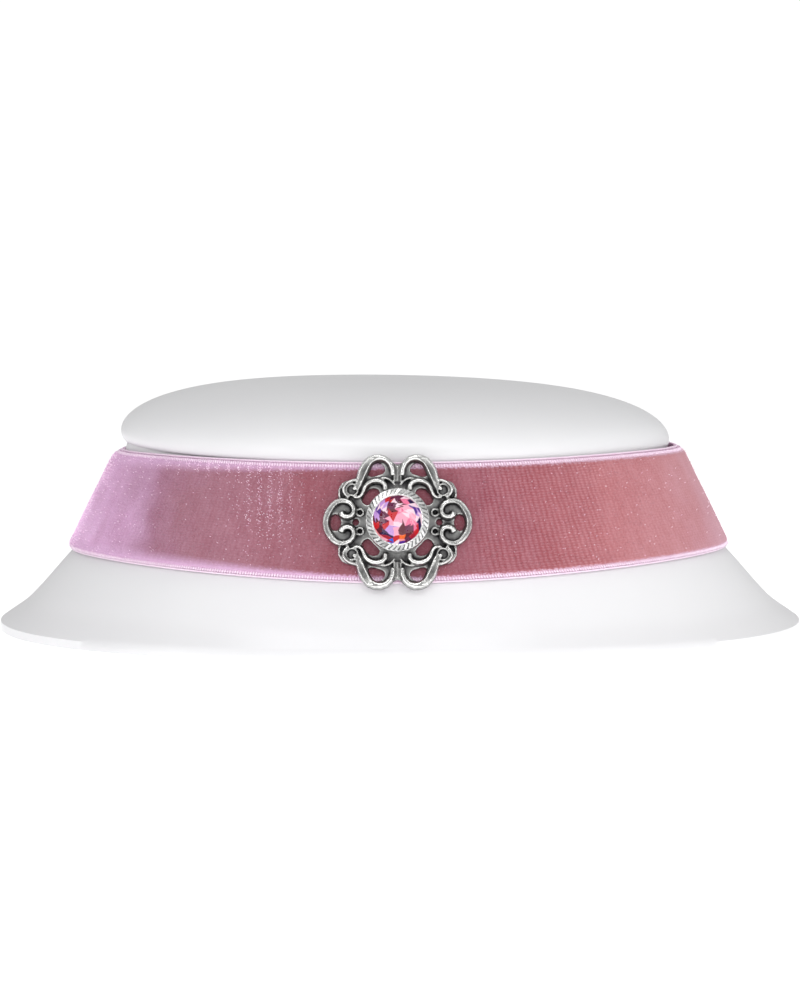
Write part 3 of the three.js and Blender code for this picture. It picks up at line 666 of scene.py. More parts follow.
# %% Velvet and its woven back
def velvet():
    material, nodes = finish_nodes("rose_velvet")
    place = object_place(nodes)
    along, down = weave_place(nodes)
    fluff = noise(nodes, place, 0.35 * MM, 2)
    wobble = noise(nodes, place, 1.6 * MM, 1)
    tufts = tuft_rows(nodes, nodes.axes(place)[0], along, down, wobble)
    from_edge = nodes.math("MINIMUM", down, RIBBON_WIDTH / MM - down)
    lit = pile_colour_and_sheen(nodes, place, from_edge, fluff)
    cloud = noise(nodes, place, 2.4 * MM, 3, (1, 1, 0.5))
    # The tufts and fluff are partly the pile's own tone and partly painted: shade in their dips, sheen on
    # their tops
    shade = fluff * 0.35 + tufts * 0.4 + cloud * 0.25
    dark = blend(nodes, 1, lit, (0.84, 0.78, 0.80, 1), "MULTIPLY")
    pale = blend(nodes, 0.12, lit, PALE_LILAC)
    colour = blend(nodes, fade(nodes, shade, 0.28, 0.72), dark, pale)
    fixed = {
        "Sheen Weight": 0.2, "Sheen Roughness": 0.35, "Sheen Tint": (0.95, 0.78, 0.86, 1),
        "Specular IOR Level": 0.08,
    }
    varying = {
        "Base Color": colour, "Roughness": fluff * 0.2 + 0.75,
        "Normal": bump(nodes, shade, 0.12 * MM),
    }
    close_finish(nodes, fixed, varying)
    return material


def woven_back():
    """The ground weave on the ribbon's back: satin yarns across its width."""
    material, nodes = finish_nodes("woven_back")
    along, down = weave_place(nodes)
    ridge = nodes.math("SINE", along * (2 * math.pi / YARN_PITCH)) * 0.5 + 0.5
    float_over = nodes.math("SINE", down * (2 * math.pi / FLOAT_PITCH)) * 0.5 + 0.5
    colour = blend(nodes, ridge * 0.7 + float_over * 0.3, srgb(196, 140, 176), srgb(226, 180, 212))
    fixed = {"Sheen Weight": 0.2, "Sheen Roughness": 0.4}
    varying = {
        "Base Color": colour, "Roughness": ridge * 0.15 + 0.5,
        "Normal": bump(nodes, ridge, 0.05 * MM),
    }
    close_finish(nodes, fixed, varying)
    return material


# %% The ribbon
def sweep_ribbon():
    columns = [on_ribbon(ribbon_angles, down, out) for down, out in ribbon_section]
    rings = np.stack(columns, 1)
    faces = ring_faces(RIBBON_STATIONS, len(ribbon_section))
    piece = object_from("velvet_band", rings, faces, [velvet(), woven_back()])
    count = len(ribbon_section)
    on_back = [index % count >= front_count - 1 for index in range(len(faces) - 2)]
    piece.data.polygons.foreach_set("material_index", np.array([*on_back, True, True], np.int32))
    weave = piece.data.uv_layers.new(name=WEAVE_MAP)
    corner = np.empty(len(piece.data.loops), np.int32)
    piece.data.loops.foreach_get("vertex_index", corner)
    spot = np.stack([ribbon_along[corner // count], ribbon_section[corner % count, 0]], -1) / MM
    weave.uv.foreach_set("vector", spot.astype(np.float32).ravel())
    return piece


ribbon = shade_smooth(face_out(sweep_ribbon()), 70)
hand_over(ribbon, "rose_velvet", "velvet_ribbon")

# %% [markdown]
# Each selvedge is a narrow band of satin stitches, about two to the millimetre, with a
# thin cord along the very edge. It is one stitch, repeated along a line, so Geometry Nodes
# make it: the line carries the directions out of the ribbon and down its width, and every
# stitch is turned to them.

# %% Geometry Nodes helpers
def node_tree(name, sizes):
    """A Geometry Nodes tree with named inputs, and what reads each of them."""
    tree = bpy.data.node_groups.new(name, "GeometryNodeTree")
    face = tree.interface
    face.new_socket(name="Geometry", in_out="INPUT", socket_type="NodeSocketGeometry")
    face.new_socket(name="Geometry", in_out="OUTPUT", socket_type="NodeSocketGeometry")
    for label, value in sizes.items():
        kind = {float: "Float", int: "Int"}.get(type(value), "Material")
        face.new_socket(name=label, in_out="INPUT", socket_type=f"NodeSocket{kind}")
    nodes = Nodes(tree)
    group = tree.nodes.new("NodeGroupInput")
    return nodes, {output.name: Wire(nodes, output) for output in group.outputs if output.name}


def grow(piece, nodes, result, sizes):
    """Ends the tree, runs it on the piece with these sizes, and keeps the plain mesh."""
    whole = nodes.add("GeometryNodeRealizeInstances", None, {0: result})
    painted = nodes.add("GeometryNodeSetMaterial", None, {0: whole, "Material": sizes["Material"]})
    nodes.add("NodeGroupOutput", None, {0: painted})
    modifier = piece.modifiers.new(nodes.tree.name, "NODES")
    modifier.node_group = nodes.tree
    for item in nodes.tree.interface.items_tree:
        if item.in_out == "INPUT" and item.name in sizes:
            modifier[item.identifier] = sizes[item.name]
    return applied(piece)


def attribute(nodes, name, kind="FLOAT_VECTOR"):
    return nodes.add("GeometryNodeInputNamedAttribute", {"data_type": kind}, {"Name": name})


def three(nodes, x, y, z):
    return nodes.add("ShaderNodeCombineXYZ", None, {0: x, 1: y, 2: z})


def rotation(nodes, angles):
    return nodes.add("FunctionNodeEulerToRotation", None, {0: angles})


def turned_further(nodes, start, angles):
    """A rotation that is turned further, about its own three axes."""
    further = {0: start, 1: rotation(nodes, angles)}
    return nodes.add("FunctionNodeRotateRotation", {"rotation_space": "LOCAL"}, further)


def random_angles(nodes, least, most, seed):
    between = {0: least, 1: most, 8: seed}
    return nodes.add("FunctionNodeRandomValue", {"data_type": "FLOAT_VECTOR"}, between)


def guide_line(name, lines, directions):
    """Lines of points that carry named directions, for a tree to follow."""
    points = np.concatenate(lines)
    starts = np.cumsum([0] + [len(line) for line in lines])
    mesh = bpy.data.meshes.new(name)
    edges = [(i, i + 1) for a, b in zip(starts, starts[1:]) for i in range(a, b - 1)]
    mesh.from_pydata(points.tolist(), edges, [])
    for label, values in directions.items():
        keep_on_points(mesh, label, np.concatenate(values))
    return in_scene(name, mesh)


# %% Selvedge yarn
def yarn(name, first, second):
    material, nodes = finish_nodes(name)
    place = object_place(nodes)
    strand = noise(nodes, place, 0.25 * MM)
    colour = blend(nodes, fade(nodes, strand, 0.3, 0.7), first, second)
    fixed = {"Sheen Weight": 0.3, "Sheen Roughness": 0.3, "Sheen Tint": (1, 0.85, 1, 1)}
    close_finish(nodes, fixed, {"Base Color": colour, "Roughness": strand * 0.2 + 0.4,
                                "Normal": bump(nodes, strand, 0.02 * MM)})
    return material


def selvedge_lines(down_from_edge, out):
    """A line along each selvedge, with the directions out of the ribbon and down it."""
    lines, outs, downs = [], [], []
    step = 0.3 * MM
    for down in (down_from_edge, RIBBON_WIDTH - down_from_edge):
        line = on_ribbon(ribbon_angles, down, out)
        away = on_ribbon(ribbon_angles, down, out + step) - line
        along = np.gradient(line, axis=0)
        below = on_ribbon(ribbon_angles, down + step, out) - on_ribbon(ribbon_angles, down - step, out)
        outward = np.cross(below, along)
        outward *= np.sign((outward * away).sum(1, keepdims=True))
        lines.append(line)
        outs.append(outward / np.linalg.norm(outward, axis=1, keepdims=True))
        downs.append(below / np.linalg.norm(below, axis=1, keepdims=True))
    return lines, {"outward": outs, "downward": downs}


# %% Selvedge stitches
STITCH_LINE = 0.62 * MM
STITCH_LIFT = 0.02 * MM
STITCH_SIZES = {
    "Pitch": 0.47 * MM,
    "Stitch length": 0.82 * MM,
    "Stitch width": 0.27 * MM,
    "Stitch height": 0.26 * MM,
    "Lean": math.radians(9),
    "Unevenness": 0.24,
    "Seed": 3,
    "Material": yarn("selvedge_yarn", srgb(236, 208, 230), srgb(252, 236, 248)),
}


def stitch_tree():
    nodes, size = node_tree("selvedge_stitching", STITCH_SIZES)
    curve = nodes.add("GeometryNodeMeshToCurve", None, {0: size["Geometry"]})
    spaced = nodes.add("GeometryNodeResampleCurve", {"mode": "LENGTH"}, {0: curve, "Length": size["Pitch"]})
    turned = nodes.add("FunctionNodeAxesToRotation", {"primary_axis": "Z", "secondary_axis": "X"},
                       {0: attribute(nodes, "outward"), 1: attribute(nodes, "downward")})
    leaned = turned_further(nodes, turned, three(nodes, 0, 0, size["Lean"]))
    ball = nodes.add("GeometryNodeMeshUVSphere", None, {0: 8, 1: 5, 2: 0.5})
    uneven = nodes.add("FunctionNodeRandomValue", {"data_type": "FLOAT"},
                       {2: 1 - size["Unevenness"], 3: 1.0, 8: size["Seed"]}, 1)
    shape = three(nodes, size["Stitch length"] * uneven, size["Stitch width"], size["Stitch height"] * uneven)
    return nodes, nodes.add("GeometryNodeInstanceOnPoints", None,
                            {"Points": spaced, "Instance": ball, "Rotation": leaned, "Scale": shape})


stitch_lines = selvedge_lines(STITCH_LINE, SELVEDGE_THICKNESS + STITCH_LIFT)
stitches = guide_line("selvedge_stitches", *stitch_lines)
grow(stitches, *stitch_tree(), STITCH_SIZES)
hand_over(shade_smooth(stitches), "rose_velvet")

# %% Selvedge cord
CORD_LINE = 0.1 * MM
CORD_SIZES = {
    "Cord radius": 0.17 * MM,
    "Cord sides": 8,
    "Material": yarn("edge_yarn", srgb(240, 214, 234), srgb(250, 232, 245)),
}


def cord_tree():
    nodes, size = node_tree("selvedge_cording", CORD_SIZES)
    curve = nodes.add("GeometryNodeMeshToCurve", None, {0: size["Geometry"]})
    ring = nodes.add("GeometryNodeCurvePrimitiveCircle", None,
                     {"Resolution": size["Cord sides"], "Radius": size["Cord radius"]})
    return nodes, nodes.add("GeometryNodeCurveToMesh", None,
                            {0: curve, "Profile Curve": ring, "Fill Caps": True})


cords = guide_line("selvedge_cords", *selvedge_lines(CORD_LINE, SELVEDGE_THICKNESS / 2))
grow(cords, *cord_tree(), CORD_SIZES)
hand_over(shade_smooth(face_out(cords)), "rose_velvet")

# %% [markdown]
# Single fibres stand up out of the pile. They break its outline and catch the light as tiny
# glints, most of all where the brush went against them: near the left end, in a patch left
# of the ornament and along the top edge there. A thin guide surface lies on the pile, and
# every point of it knows how thick the fibres stand and how far the nearest edge is.
# Geometry Nodes scatter the fibres by the first, and their finish reads the second. The
# glints are fibres of their own, short and thick. They stand in upright columns, as the
# brushed rows of a pile do, and glow a little as painted glints, so that they show as sparks.

# %% Finishes of the fibres
NAP = "nap"
NAP_EDGE = "nap_edge"


def nap_finish():
    material, nodes = finish_nodes("nap_fibres")
    place = object_place(nodes)
    from_edge = nodes.add("ShaderNodeAttribute", {"attribute_name": NAP_EDGE}, None, "Fac")
    strand = noise(nodes, place, 0.5 * MM)
    # The fibres take the pile's colour with its painted sheen, lightened towards pale lilac as painted sheen
    # on their flanks
    colour = blend(nodes, strand * 0.3 + 0.05, pile_colour_and_sheen(nodes, place, from_edge, strand), PALE_LILAC)
    fixed = {"Sheen Weight": 0.4, "Sheen Roughness": 0.3, "Sheen Tint": (1, 0.85, 1, 1)}
    close_finish(nodes, fixed, {"Base Color": colour, "Roughness": strand * 0.1 + 0.7})
    return material


def glint_finish():
    material, nodes = finish_nodes("nap_glints")
    strand = noise(nodes, object_place(nodes), 0.6 * MM)
    colour = blend(nodes, fade(nodes, strand, 0.3, 0.7), srgb(238, 202, 228), srgb(255, 244, 252))
    # The glow and pale colour are painted glints, not light from any lamp
    fixed = {"Emission Strength": 0.24, "Sheen Weight": 0.3, "Sheen Roughness": 0.3}
    varying = {"Base Color": colour, "Emission Color": colour, "Roughness": strand * 0.1 + 0.2}
    close_finish(nodes, fixed, varying)
    return material


# %% Where the fibres stand
NAP_DOWNS = np.array([0.1, 0.6, 1.1, 1.6, *np.linspace(2.2, 17.8, 22), 18.4, 18.9, 19.4, 19.9]) * MM
COLUMN_PITCH = 1.8 * MM
FRONT_LIMIT = 15 * MM
PILE_STARTS = 1.3 * MM
# Each a middle and a reach, along the ribbon's front and down its width
BRUSHED_PATCH = ((-21.5 * MM, 5 * MM), (7 * MM, 6.5 * MM))
BRUSHED_EDGE = ((-29 * MM, 9 * MM), (1.5 * MM, 0.9 * MM))


def near(values, middle, reach):
    """1 at the middle, and falling off to nothing at a few times the reach."""
    return np.exp(-((values - middle) / reach) ** 2)


def beyond(values, start, reach, most=1):
    """0 up to the start, and growing from there to the most that it may be."""
    return np.clip((values - start) / reach, 0, most)


def to_edge(downs):
    return np.minimum(downs, RIBBON_WIDTH - downs)


def brushed_up(x, down):
    """Where the pile was brushed against its lie: a patch, and the top edge beside it."""
    patch, border = [near(x, *beside) * near(down, *below)
                     for beside, below in (BRUSHED_PATCH, BRUSHED_EDGE)]
    return patch + 1.3 * border


def fibre_thickness(x, y, downs):
    """Thick at the pale left end, in the brushed patch and on the top edge, thin at the right."""
    left_end = beyond(-x, 33 * MM, 12 * MM) * (y < FRONT_LIMIT)
    smooth_end = beyond(x, 36 * MM, 10 * MM, 0.9)
    on_pile = np.maximum(to_edge(downs) > PILE_STARTS, 0.9 * left_end) * (1 - smooth_end)
    fuzz = near(downs, 0.3 * MM, 0.8 * MM) * (y < FRONT_LIMIT)
    return (0.45 + 0.7 * left_end + 0.5 * brushed_up(x, downs) * (y < 0)) * on_pile + fuzz


def glint_thickness(x, y, downs):
    """In columns where the pile was brushed up, and sparse on the rest of the front."""
    turning_away = near(y, -5 * MM, 6 * MM) * (x < 0)
    left_end = beyond(-x, 38 * MM, 10 * MM) * (y < FRONT_LIMIT)
    right_side = near(x, 30 * MM, 7 * MM) * (y < 0)
    columns = 0.1 + 1.7 * np.cos(math.pi * x / COLUMN_PITCH) ** 10
    sparse = 0.006 + 0.55 * turning_away + 0.03 * left_end + 0.03 * right_side
    return sparse + brushed_up(x, downs) * columns * (y < 0)


# %% Scattering the fibres
def guide_surface(name, thickness):
    """The front of the pile as an open surface, with a thickness of nap at each point."""
    front = ribbon_section[:front_count]
    outs = np.interp(NAP_DOWNS, np.maximum.accumulate(front[:, 0]), front[:, 1])
    lines = np.stack([on_ribbon(ribbon_angles, down, out) for down, out in zip(NAP_DOWNS, outs)])
    rows, columns = lines.shape[:2]
    faces = [(r * columns + c, (r + 1) * columns + c, (r + 1) * columns + c + 1, r * columns + c + 1)
             for r in range(rows - 1) for c in range(columns - 1)]
    piece = object_from(name, lines, faces, [])
    downs = np.repeat(NAP_DOWNS, columns)
    x, y, _ = lines.reshape(-1, 3).T
    keep_on_points(piece.data, NAP, thickness(x, y, downs))
    keep_on_points(piece.data, NAP_EDGE, to_edge(downs) / MM)
    return piece


def nap_tree(name, sizes):
    nodes, size = node_tree(name, sizes)
    density = attribute(nodes, NAP, "FLOAT") * size["Fibres per square metre"]
    spots = nodes.add("GeometryNodeDistributePointsOnFaces", {"distribute_method": "RANDOM"},
                      {"Mesh": size["Geometry"], "Density": density, "Seed": size["Seed"]})
    upright = Wire(nodes, spots.socket.node.outputs["Rotation"])
    least = three(nodes, 0 - size["Lean"], 0 - size["Lean"], 0)
    most = three(nodes, size["Lean"], size["Lean"], math.pi)
    turned = turned_further(nodes, upright, random_angles(nodes, least, most, size["Seed"]))
    fibre = nodes.add("GeometryNodeMeshCone", None,
                      {"Vertices": 3, "Radius Top": 0.0, "Radius Bottom": size["Fibre radius"],
                       "Depth": size["Fibre length"]})
    return nodes, nodes.add("GeometryNodeInstanceOnPoints", None,
                            {"Points": spots, "Instance": fibre, "Rotation": turned})


# %% Nap and glints
NAP_SIZES = {
    "Fibres per square metre": 6.5e6,
    "Fibre length": 0.46 * MM,
    "Fibre radius": 0.04 * MM,
    "Lean": 0.7,
    "Seed": 21,
    "Material": nap_finish(),
}
GLINT_SIZES = {
    "Fibres per square metre": 1e7,
    "Fibre length": 0.28 * MM,
    "Fibre radius": 0.075 * MM,
    "Lean": 0.5,
    "Seed": 33,
    "Material": glint_finish(),
}


def grow_nap(name, sizes, thickness):
    piece = guide_surface(name, thickness)
    grow(piece, *nap_tree(name + "_tree", sizes), sizes)
    hand_over(piece, "rose_velvet")
    return piece


nap = grow_nap("velvet_nap", NAP_SIZES, fibre_thickness)
glints = grow_nap("velvet_glints", GLINT_SIZES, glint_thickness)

# %% [markdown]
# The ornament and its stone were placed together, turned to the ribbon's front. The stone
# tells how: its lowest point and the middle of its table lie on its axis. From them come
# the ornament's own three directions, so its pieces can be drawn upright and laid in place.

# %% The ornament's axis
CULET_HEIGHT = 0.9 * MM
TABLE_POINTS = 9
LOOSE_JOIN = 1e-6


def merged_mesh(node, name):
    """A copy of a node's mesh with its loose triangles joined."""
    mesh = bmesh.new()
    mesh.from_mesh(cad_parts[node].data)
    bmesh.ops.remove_doubles(mesh, verts=mesh.verts, dist=LOOSE_JOIN)
    copy = bpy.data.meshes.new(name)
    mesh.to_mesh(copy)
    mesh.free()
    return copy


def mesh_points(mesh, what="co"):
    """The places of a mesh's points, or their normals, as one array."""
    points = np.empty(len(mesh.vertices) * 3)
    mesh.vertices.foreach_get(what, points)
    return points.reshape(-1, 3)


stone_points = mesh_points(merged_mesh("crystal", "stone_measure"))
culet = stone_points[stone_points[:, 1].argmax()]
depths = (stone_points - culet) @ (stone_points.mean(0) - culet)
table_middle = stone_points[np.argsort(depths)[-TABLE_POINTS:]].mean(0)
AXIS_OUT = (table_middle - culet) / np.linalg.norm(table_middle - culet)
AXIS_RIGHT = np.array([1.0, 0.0, 0.0])
AXIS_UP = np.cross(AXIS_OUT, AXIS_RIGHT)
SEAT = culet - CULET_HEIGHT * AXIS_OUT


def placed(local):
    """Points drawn on the ornament, right, up and out of it, as points of the scene."""
    local = np.asarray(local)
    return SEAT + local @ np.array([AXIS_RIGHT, AXIS_UP, AXIS_OUT])


print("ornament leans back", round(math.degrees(math.asin(AXIS_OUT[2])), 2), "degrees")

# %% [markdown]
# The casting is antique silver: it was blackened, then polished, so the dark stays in its
# hollows and on the walls of its holes, and its high ridges shine. The finish needs to know
# what the polish reached. For every point, the script compares the surface with a blurred
# copy of itself: where the copy lies above the surface, there is a hollow. Walls that face
# sideways are darkened too, partly as patina and partly as painted shade inside the holes,
# and so is what lies low, most of all round the cup, where the darkening is a painted
# shadow of the cup. The result is kept on the mesh, and the finish reads it.

# %% Antique silver
PATINA_AND_SHADE = "hollow"
# Tones for the patina and the painted shade, from ridge to groove
PATINA_AND_SHADE_TONES = [
    (0.14, srgb(236, 236, 234)), (0.34, srgb(208, 208, 206)), (0.50, srgb(178, 178, 176)),
    (0.66, srgb(144, 144, 143)), (0.80, srgb(88, 87, 88)), (0.95, srgb(30, 29, 31)),
]


def antique_silver():
    material, nodes = finish_nodes("antique_silver")
    place = object_place(nodes)
    # Patina and painted shade, as kept on the mesh
    hollow = nodes.add("ShaderNodeAttribute", {"attribute_name": PATINA_AND_SHADE}, None, "Fac")
    grime = noise(nodes, place, 0.7 * MM, 4)
    scratch = noise(nodes, place, 0.25 * MM, 3, (1, 1, 0.25))
    depth = hollow + (grime - 0.5) * 0.26
    colour = nodes.add("ShaderNodeValToRGB", {"stops": PATINA_AND_SHADE_TONES}, {0: depth})
    rough = fade(nodes, depth, 0.3, 0.8, 0.22, 0.5) + (scratch - 0.5) * 0.16
    fixed = {"Metallic": 1.0, "Specular IOR Level": 0.5}
    varying = {"Base Color": colour, "Roughness": rough, "Normal": bump(nodes, scratch, 0.02 * MM)}
    close_finish(nodes, fixed, varying)
    return material


# %% Hollows
def blurred(values, edges, rounds):
    """Each point's values averaged with its neighbours', so many times over."""
    a, b = edges.T
    count = len(values)
    links = np.bincount(a, minlength=count) + np.bincount(b, minlength=count)
    for _ in range(rounds):
        total = np.stack([np.bincount(a, column[b], count) + np.bincount(b, column[a], count)
                          for column in values.T], 1)
        values = (values + total) / (links + 1)[:, None]
    return values


def mesh_edges(mesh):
    edges = np.empty(len(mesh.edges) * 2, np.int64)
    mesh.edges.foreach_get("vertices", edges)
    return edges.reshape(-1, 2)


NEAR_BLUR = dict(rounds=12, depth=0.12 * MM, weight=0.20)
WIDE_BLUR = dict(rounds=90, depth=0.45 * MM, weight=0.26)
# Extra darkening: painted shade on sideways walls, darker low parts, and a painted shadow round the cup
WALL_PATINA_AND_SHADE = 0.34
LOW_DARK = 0.16
CUP_PAINTED_SHADOW = 0.1
CUP_SHADE = (6.2 * MM, 1.7 * MM)
PLATE_TOP = 0.9 * MM
BAND_TOP = 2.2 * MM


def measure_patina_and_shade(piece):
    """Keeps on each point how dark its patina and painted shade are: 0 on a ridge, 1 in a groove."""
    mesh = piece.data
    points, normals = mesh_points(mesh), mesh_points(mesh, "normal")
    edges = mesh_edges(mesh)
    level = np.full(len(points), 0.5)
    for blur in (NEAR_BLUR, WIDE_BLUR):
        lift = ((blurred(points, edges, blur["rounds"]) - points) * normals).sum(1)
        level += blur["weight"] * np.clip(lift / blur["depth"], -1, 1)
    height = (points - SEAT) @ AXIS_OUT
    from_axis = np.hypot((points - SEAT) @ AXIS_RIGHT, (points - SEAT) @ AXIS_UP)
    sideways = 1 - np.abs(normals @ AXIS_OUT)
    lowness = np.clip((BAND_TOP - height) / (BAND_TOP - PLATE_TOP), 0, 1)
    # Sideways walls low in the casting: patina, and painted shade inside the holes
    level += WALL_PATINA_AND_SHADE * sideways ** 2 * lowness + LOW_DARK * (lowness - 0.7)
    # A painted shadow ring on the plate round the foot of the cup
    level += CUP_PAINTED_SHADOW * near(from_axis, *CUP_SHADE) * lowness
    keep_on_points(mesh, PATINA_AND_SHADE, np.clip(level, 0, 1))
    print(f"{piece.name}: hollows {level.min():.2f} to {level.max():.2f}, middle {np.median(level):.2f}")


# %% [markdown]
# The solid of the casting has crisp edges and long thin triangles. A real casting has soft
# edges, and the measure of its hollows needs points that lie evenly. A voxel remesh makes
# an even skin over the whole solid, and a few rounds of smoothing soften what it shows.

# %% The casting
CASTING_VOXEL = 0.12 * MM
SOFTENING_ROUNDS = 5


def dressed_copy(name, node, modifiers, finish):
    """A joined copy of a node's mesh, with modifiers applied and one finish."""
    piece = in_scene(name, merged_mesh(node, name))
    for kind, settings in modifiers.items():
        modifier = piece.modifiers.new(kind.lower(), kind)
        for label, value in settings.items():
            setattr(modifier, label, value)
    applied(piece)
    piece.data.materials.clear()
    piece.data.materials.append(finish)
    return piece


casting = dressed_copy("silver_casting", "filigree", {
    "REMESH": dict(mode="VOXEL", voxel_size=CASTING_VOXEL),
    "SMOOTH": dict(factor=0.5, iterations=SOFTENING_ROUNDS),
}, antique_silver())
measure_patina_and_shade(casting)
shade_smooth(casting, 180)
hand_over(casting, "antique_silver", "filigree")

# %% [markdown]
# The cup that holds the stone was turned on a lathe, so a profile spun round its axis
# makes it. Its rim is milled with slanted cuts, which leave flat pads between them. The
# rim itself is coloured dark, as painted shade for the bottoms of the cuts, and one bright
# pad, repeated round it and tipped a little at random, makes what stands between them.

# %% Bright silver
def turned_silver(name, dull, bright):
    material, nodes = finish_nodes(name)
    place = object_place(nodes)
    wear = noise(nodes, place, 0.8 * MM, 4)
    brushed = noise(nodes, place, 0.18 * MM, 2)
    colour = blend(nodes, fade(nodes, wear, 0.3, 0.7), dull, bright)
    varying = {
        "Base Color": colour, "Roughness": brushed * 0.18 + 0.2,
        "Normal": bump(nodes, brushed, 0.01 * MM),
    }
    close_finish(nodes, {"Metallic": 1.0}, varying)
    return material


silver = turned_silver("bright_silver", srgb(206, 206, 205), srgb(244, 244, 243))
# Painted shade: the dark rim between the milled pads stands for the shaded bottoms of the cuts
cut_shade = turned_silver("cut_shade_silver", srgb(84, 84, 85), srgb(128, 128, 128))

# %% The cup
CUP_SIDES = 160
CUP_OUTER = 5.2 * MM
CUP_FOOT = 1.2 * MM
RIM_INNER = 4.0 * MM
RIM_TOP = 4.0 * MM
RIM_RISE = 0.25 * MM
BOSS_RADIUS = 2.8 * MM
BOSS_FOOT = 0.15 * MM
CUP_DIP = 0.5 * MM
SEAT_RADIUS = 4.35 * MM
POLE_RADIUS = 0.02 * MM
RIM_EDGE = RIM_TOP - RIM_RISE
# Radius and height: under the boss, up the cup's wall, over the rim and down into the seat
CUP_PROFILE = [
    (POLE_RADIUS, BOSS_FOOT),
    (BOSS_RADIUS - 0.15 * MM, BOSS_FOOT), (BOSS_RADIUS, BOSS_FOOT + 0.15 * MM), (BOSS_RADIUS, CUP_FOOT),
    (CUP_OUTER - 0.2 * MM, CUP_FOOT), (CUP_OUTER - 0.05 * MM, CUP_FOOT + 0.08 * MM),
    (CUP_OUTER, CUP_FOOT + 0.25 * MM), (CUP_OUTER, RIM_EDGE - 0.3 * MM),
    (CUP_OUTER - 0.05 * MM, RIM_EDGE - 0.08 * MM), (CUP_OUTER - 0.14 * MM, RIM_EDGE - 0.02 * MM),
    (RIM_INNER + 0.25 * MM, RIM_TOP - 0.08 * MM), (RIM_INNER + 0.1 * MM, RIM_TOP),
    (RIM_INNER + 0.02 * MM, RIM_TOP - 0.04 * MM), (RIM_INNER, RIM_TOP - 0.14 * MM),
    (RIM_INNER, RIM_TOP - 0.35 * MM), (SEAT_RADIUS, RIM_TOP - 0.7 * MM),
    (SEAT_RADIUS, RIM_TOP - 1.1 * MM), (POLE_RADIUS, CUP_DIP),
]
# The sloping face under the pads starts at this point of the profile
RIM_ROW = 9


def turned(name, profile, sides, materials):
    """Turns a profile of radius and height round the ornament's axis."""
    angles = np.arange(sides) / sides * 2 * math.pi
    rings = [placed(np.stack([r * np.cos(angles), r * np.sin(angles), h + 0 * angles], -1))
             for r, h in profile]
    return object_from(name, rings, ring_faces(len(rings), sides), materials)


cup = turned("silver_cup", CUP_PROFILE, CUP_SIDES, [silver, cut_shade])
# The sloping face under the pads takes the painted shade
for face in cup.data.polygons:
    face.material_index = int(face.index // CUP_SIDES == RIM_ROW)
shade_smooth(face_out(cup), 40)
hand_over(cup, "bright_silver", "bezel_cup")

# %% The milled rim
MILLING_SIZES = {
    "Pads": 40,
    "Middle radius": 4.6 * MM,
    "Pad length": 1.3 * MM,
    "Pad width": 0.47 * MM,
    "Pad height": 0.2 * MM,
    "Slant": -math.radians(38),
    "Unevenness": 0.1,
    "Seed": 9,
    "Material": silver,
}
PAD_CORNER = math.sqrt(0.5)
PAD_TAPER = 0.8
PAD_LEVEL = RIM_TOP - 0.2 * MM
PAD_RISE = RIM_RISE - 0.06 * MM
PAD_RUN = CUP_OUTER - RIM_INNER - 0.45 * MM


def milling_tree():
    nodes, size = node_tree("rim_milling", MILLING_SIZES)
    circle = nodes.add("GeometryNodeMeshCircle", None, {0: size["Pads"], 1: size["Middle radius"]})
    turn = nodes.add("GeometryNodeInputIndex") * (2 * math.pi) / size["Pads"]
    facing = rotation(nodes, three(nodes, 0, 0, turn))
    tipped = turned_further(nodes, facing, three(nodes, 0, math.atan2(PAD_RISE, PAD_RUN), size["Slant"]))
    most = three(nodes, size["Unevenness"], size["Unevenness"], 0)
    least = nodes.add("ShaderNodeVectorMath", {"operation": "SCALE"}, {0: most, "Scale": -1.0})
    shaken = turned_further(nodes, tipped, random_angles(nodes, least, most, size["Seed"]))
    block = nodes.add("GeometryNodeMeshCone", None,
                      {"Vertices": 4, "Radius Top": PAD_TAPER * PAD_CORNER, "Radius Bottom": PAD_CORNER,
                       "Depth": 1.0})
    pad = nodes.add("GeometryNodeTransform", None, {0: block, "Rotation": (0, 0, math.pi / 4)})
    shape = three(nodes, size["Pad length"], size["Pad width"], size["Pad height"])
    return nodes, nodes.add("GeometryNodeInstanceOnPoints", None,
                            {"Points": circle, "Instance": pad, "Rotation": shaken, "Scale": shape})


milling = object_from("cup_milling", [(0, 0, 0)], [], [])
grow(milling, *milling_tree(), MILLING_SIZES)
local = mesh_points(milling.data) + (0, 0, PAD_LEVEL)
milling.data.vertices.foreach_set("co", placed(local).astype(np.float32).ravel())
hand_over(milling, "bright_silver")

# %% [markdown]
# The stone is a cut crystal with a foiled back. Light goes in through the crown, meets the
# foil under every small facet, and comes back as flashes of pink, red, violet and blue. A
# clear crown over foil facets of different colours does the same. The facets are cut
# unevenly by a fixed seed. A short list says where on the stone each flash is seen. A
# facet takes the colour of the flash nearest to it, and a stray one that of the next. The
# foil glows in these colours, which stands for the light that it throws back.

# %% Crystal finishes
FLASH = "flash"


def clear_crown():
    material, nodes = finish_nodes("crystal_crown")
    tint = noise(nodes, object_place(nodes), 3 * MM)
    colour = blend(nodes, tint, srgb(255, 236, 244), srgb(255, 246, 250))
    fixed = {"Transmission Weight": 1.0, "IOR": 1.28, "Roughness": 0.0}
    close_finish(nodes, fixed, {"Base Color": colour})
    return material


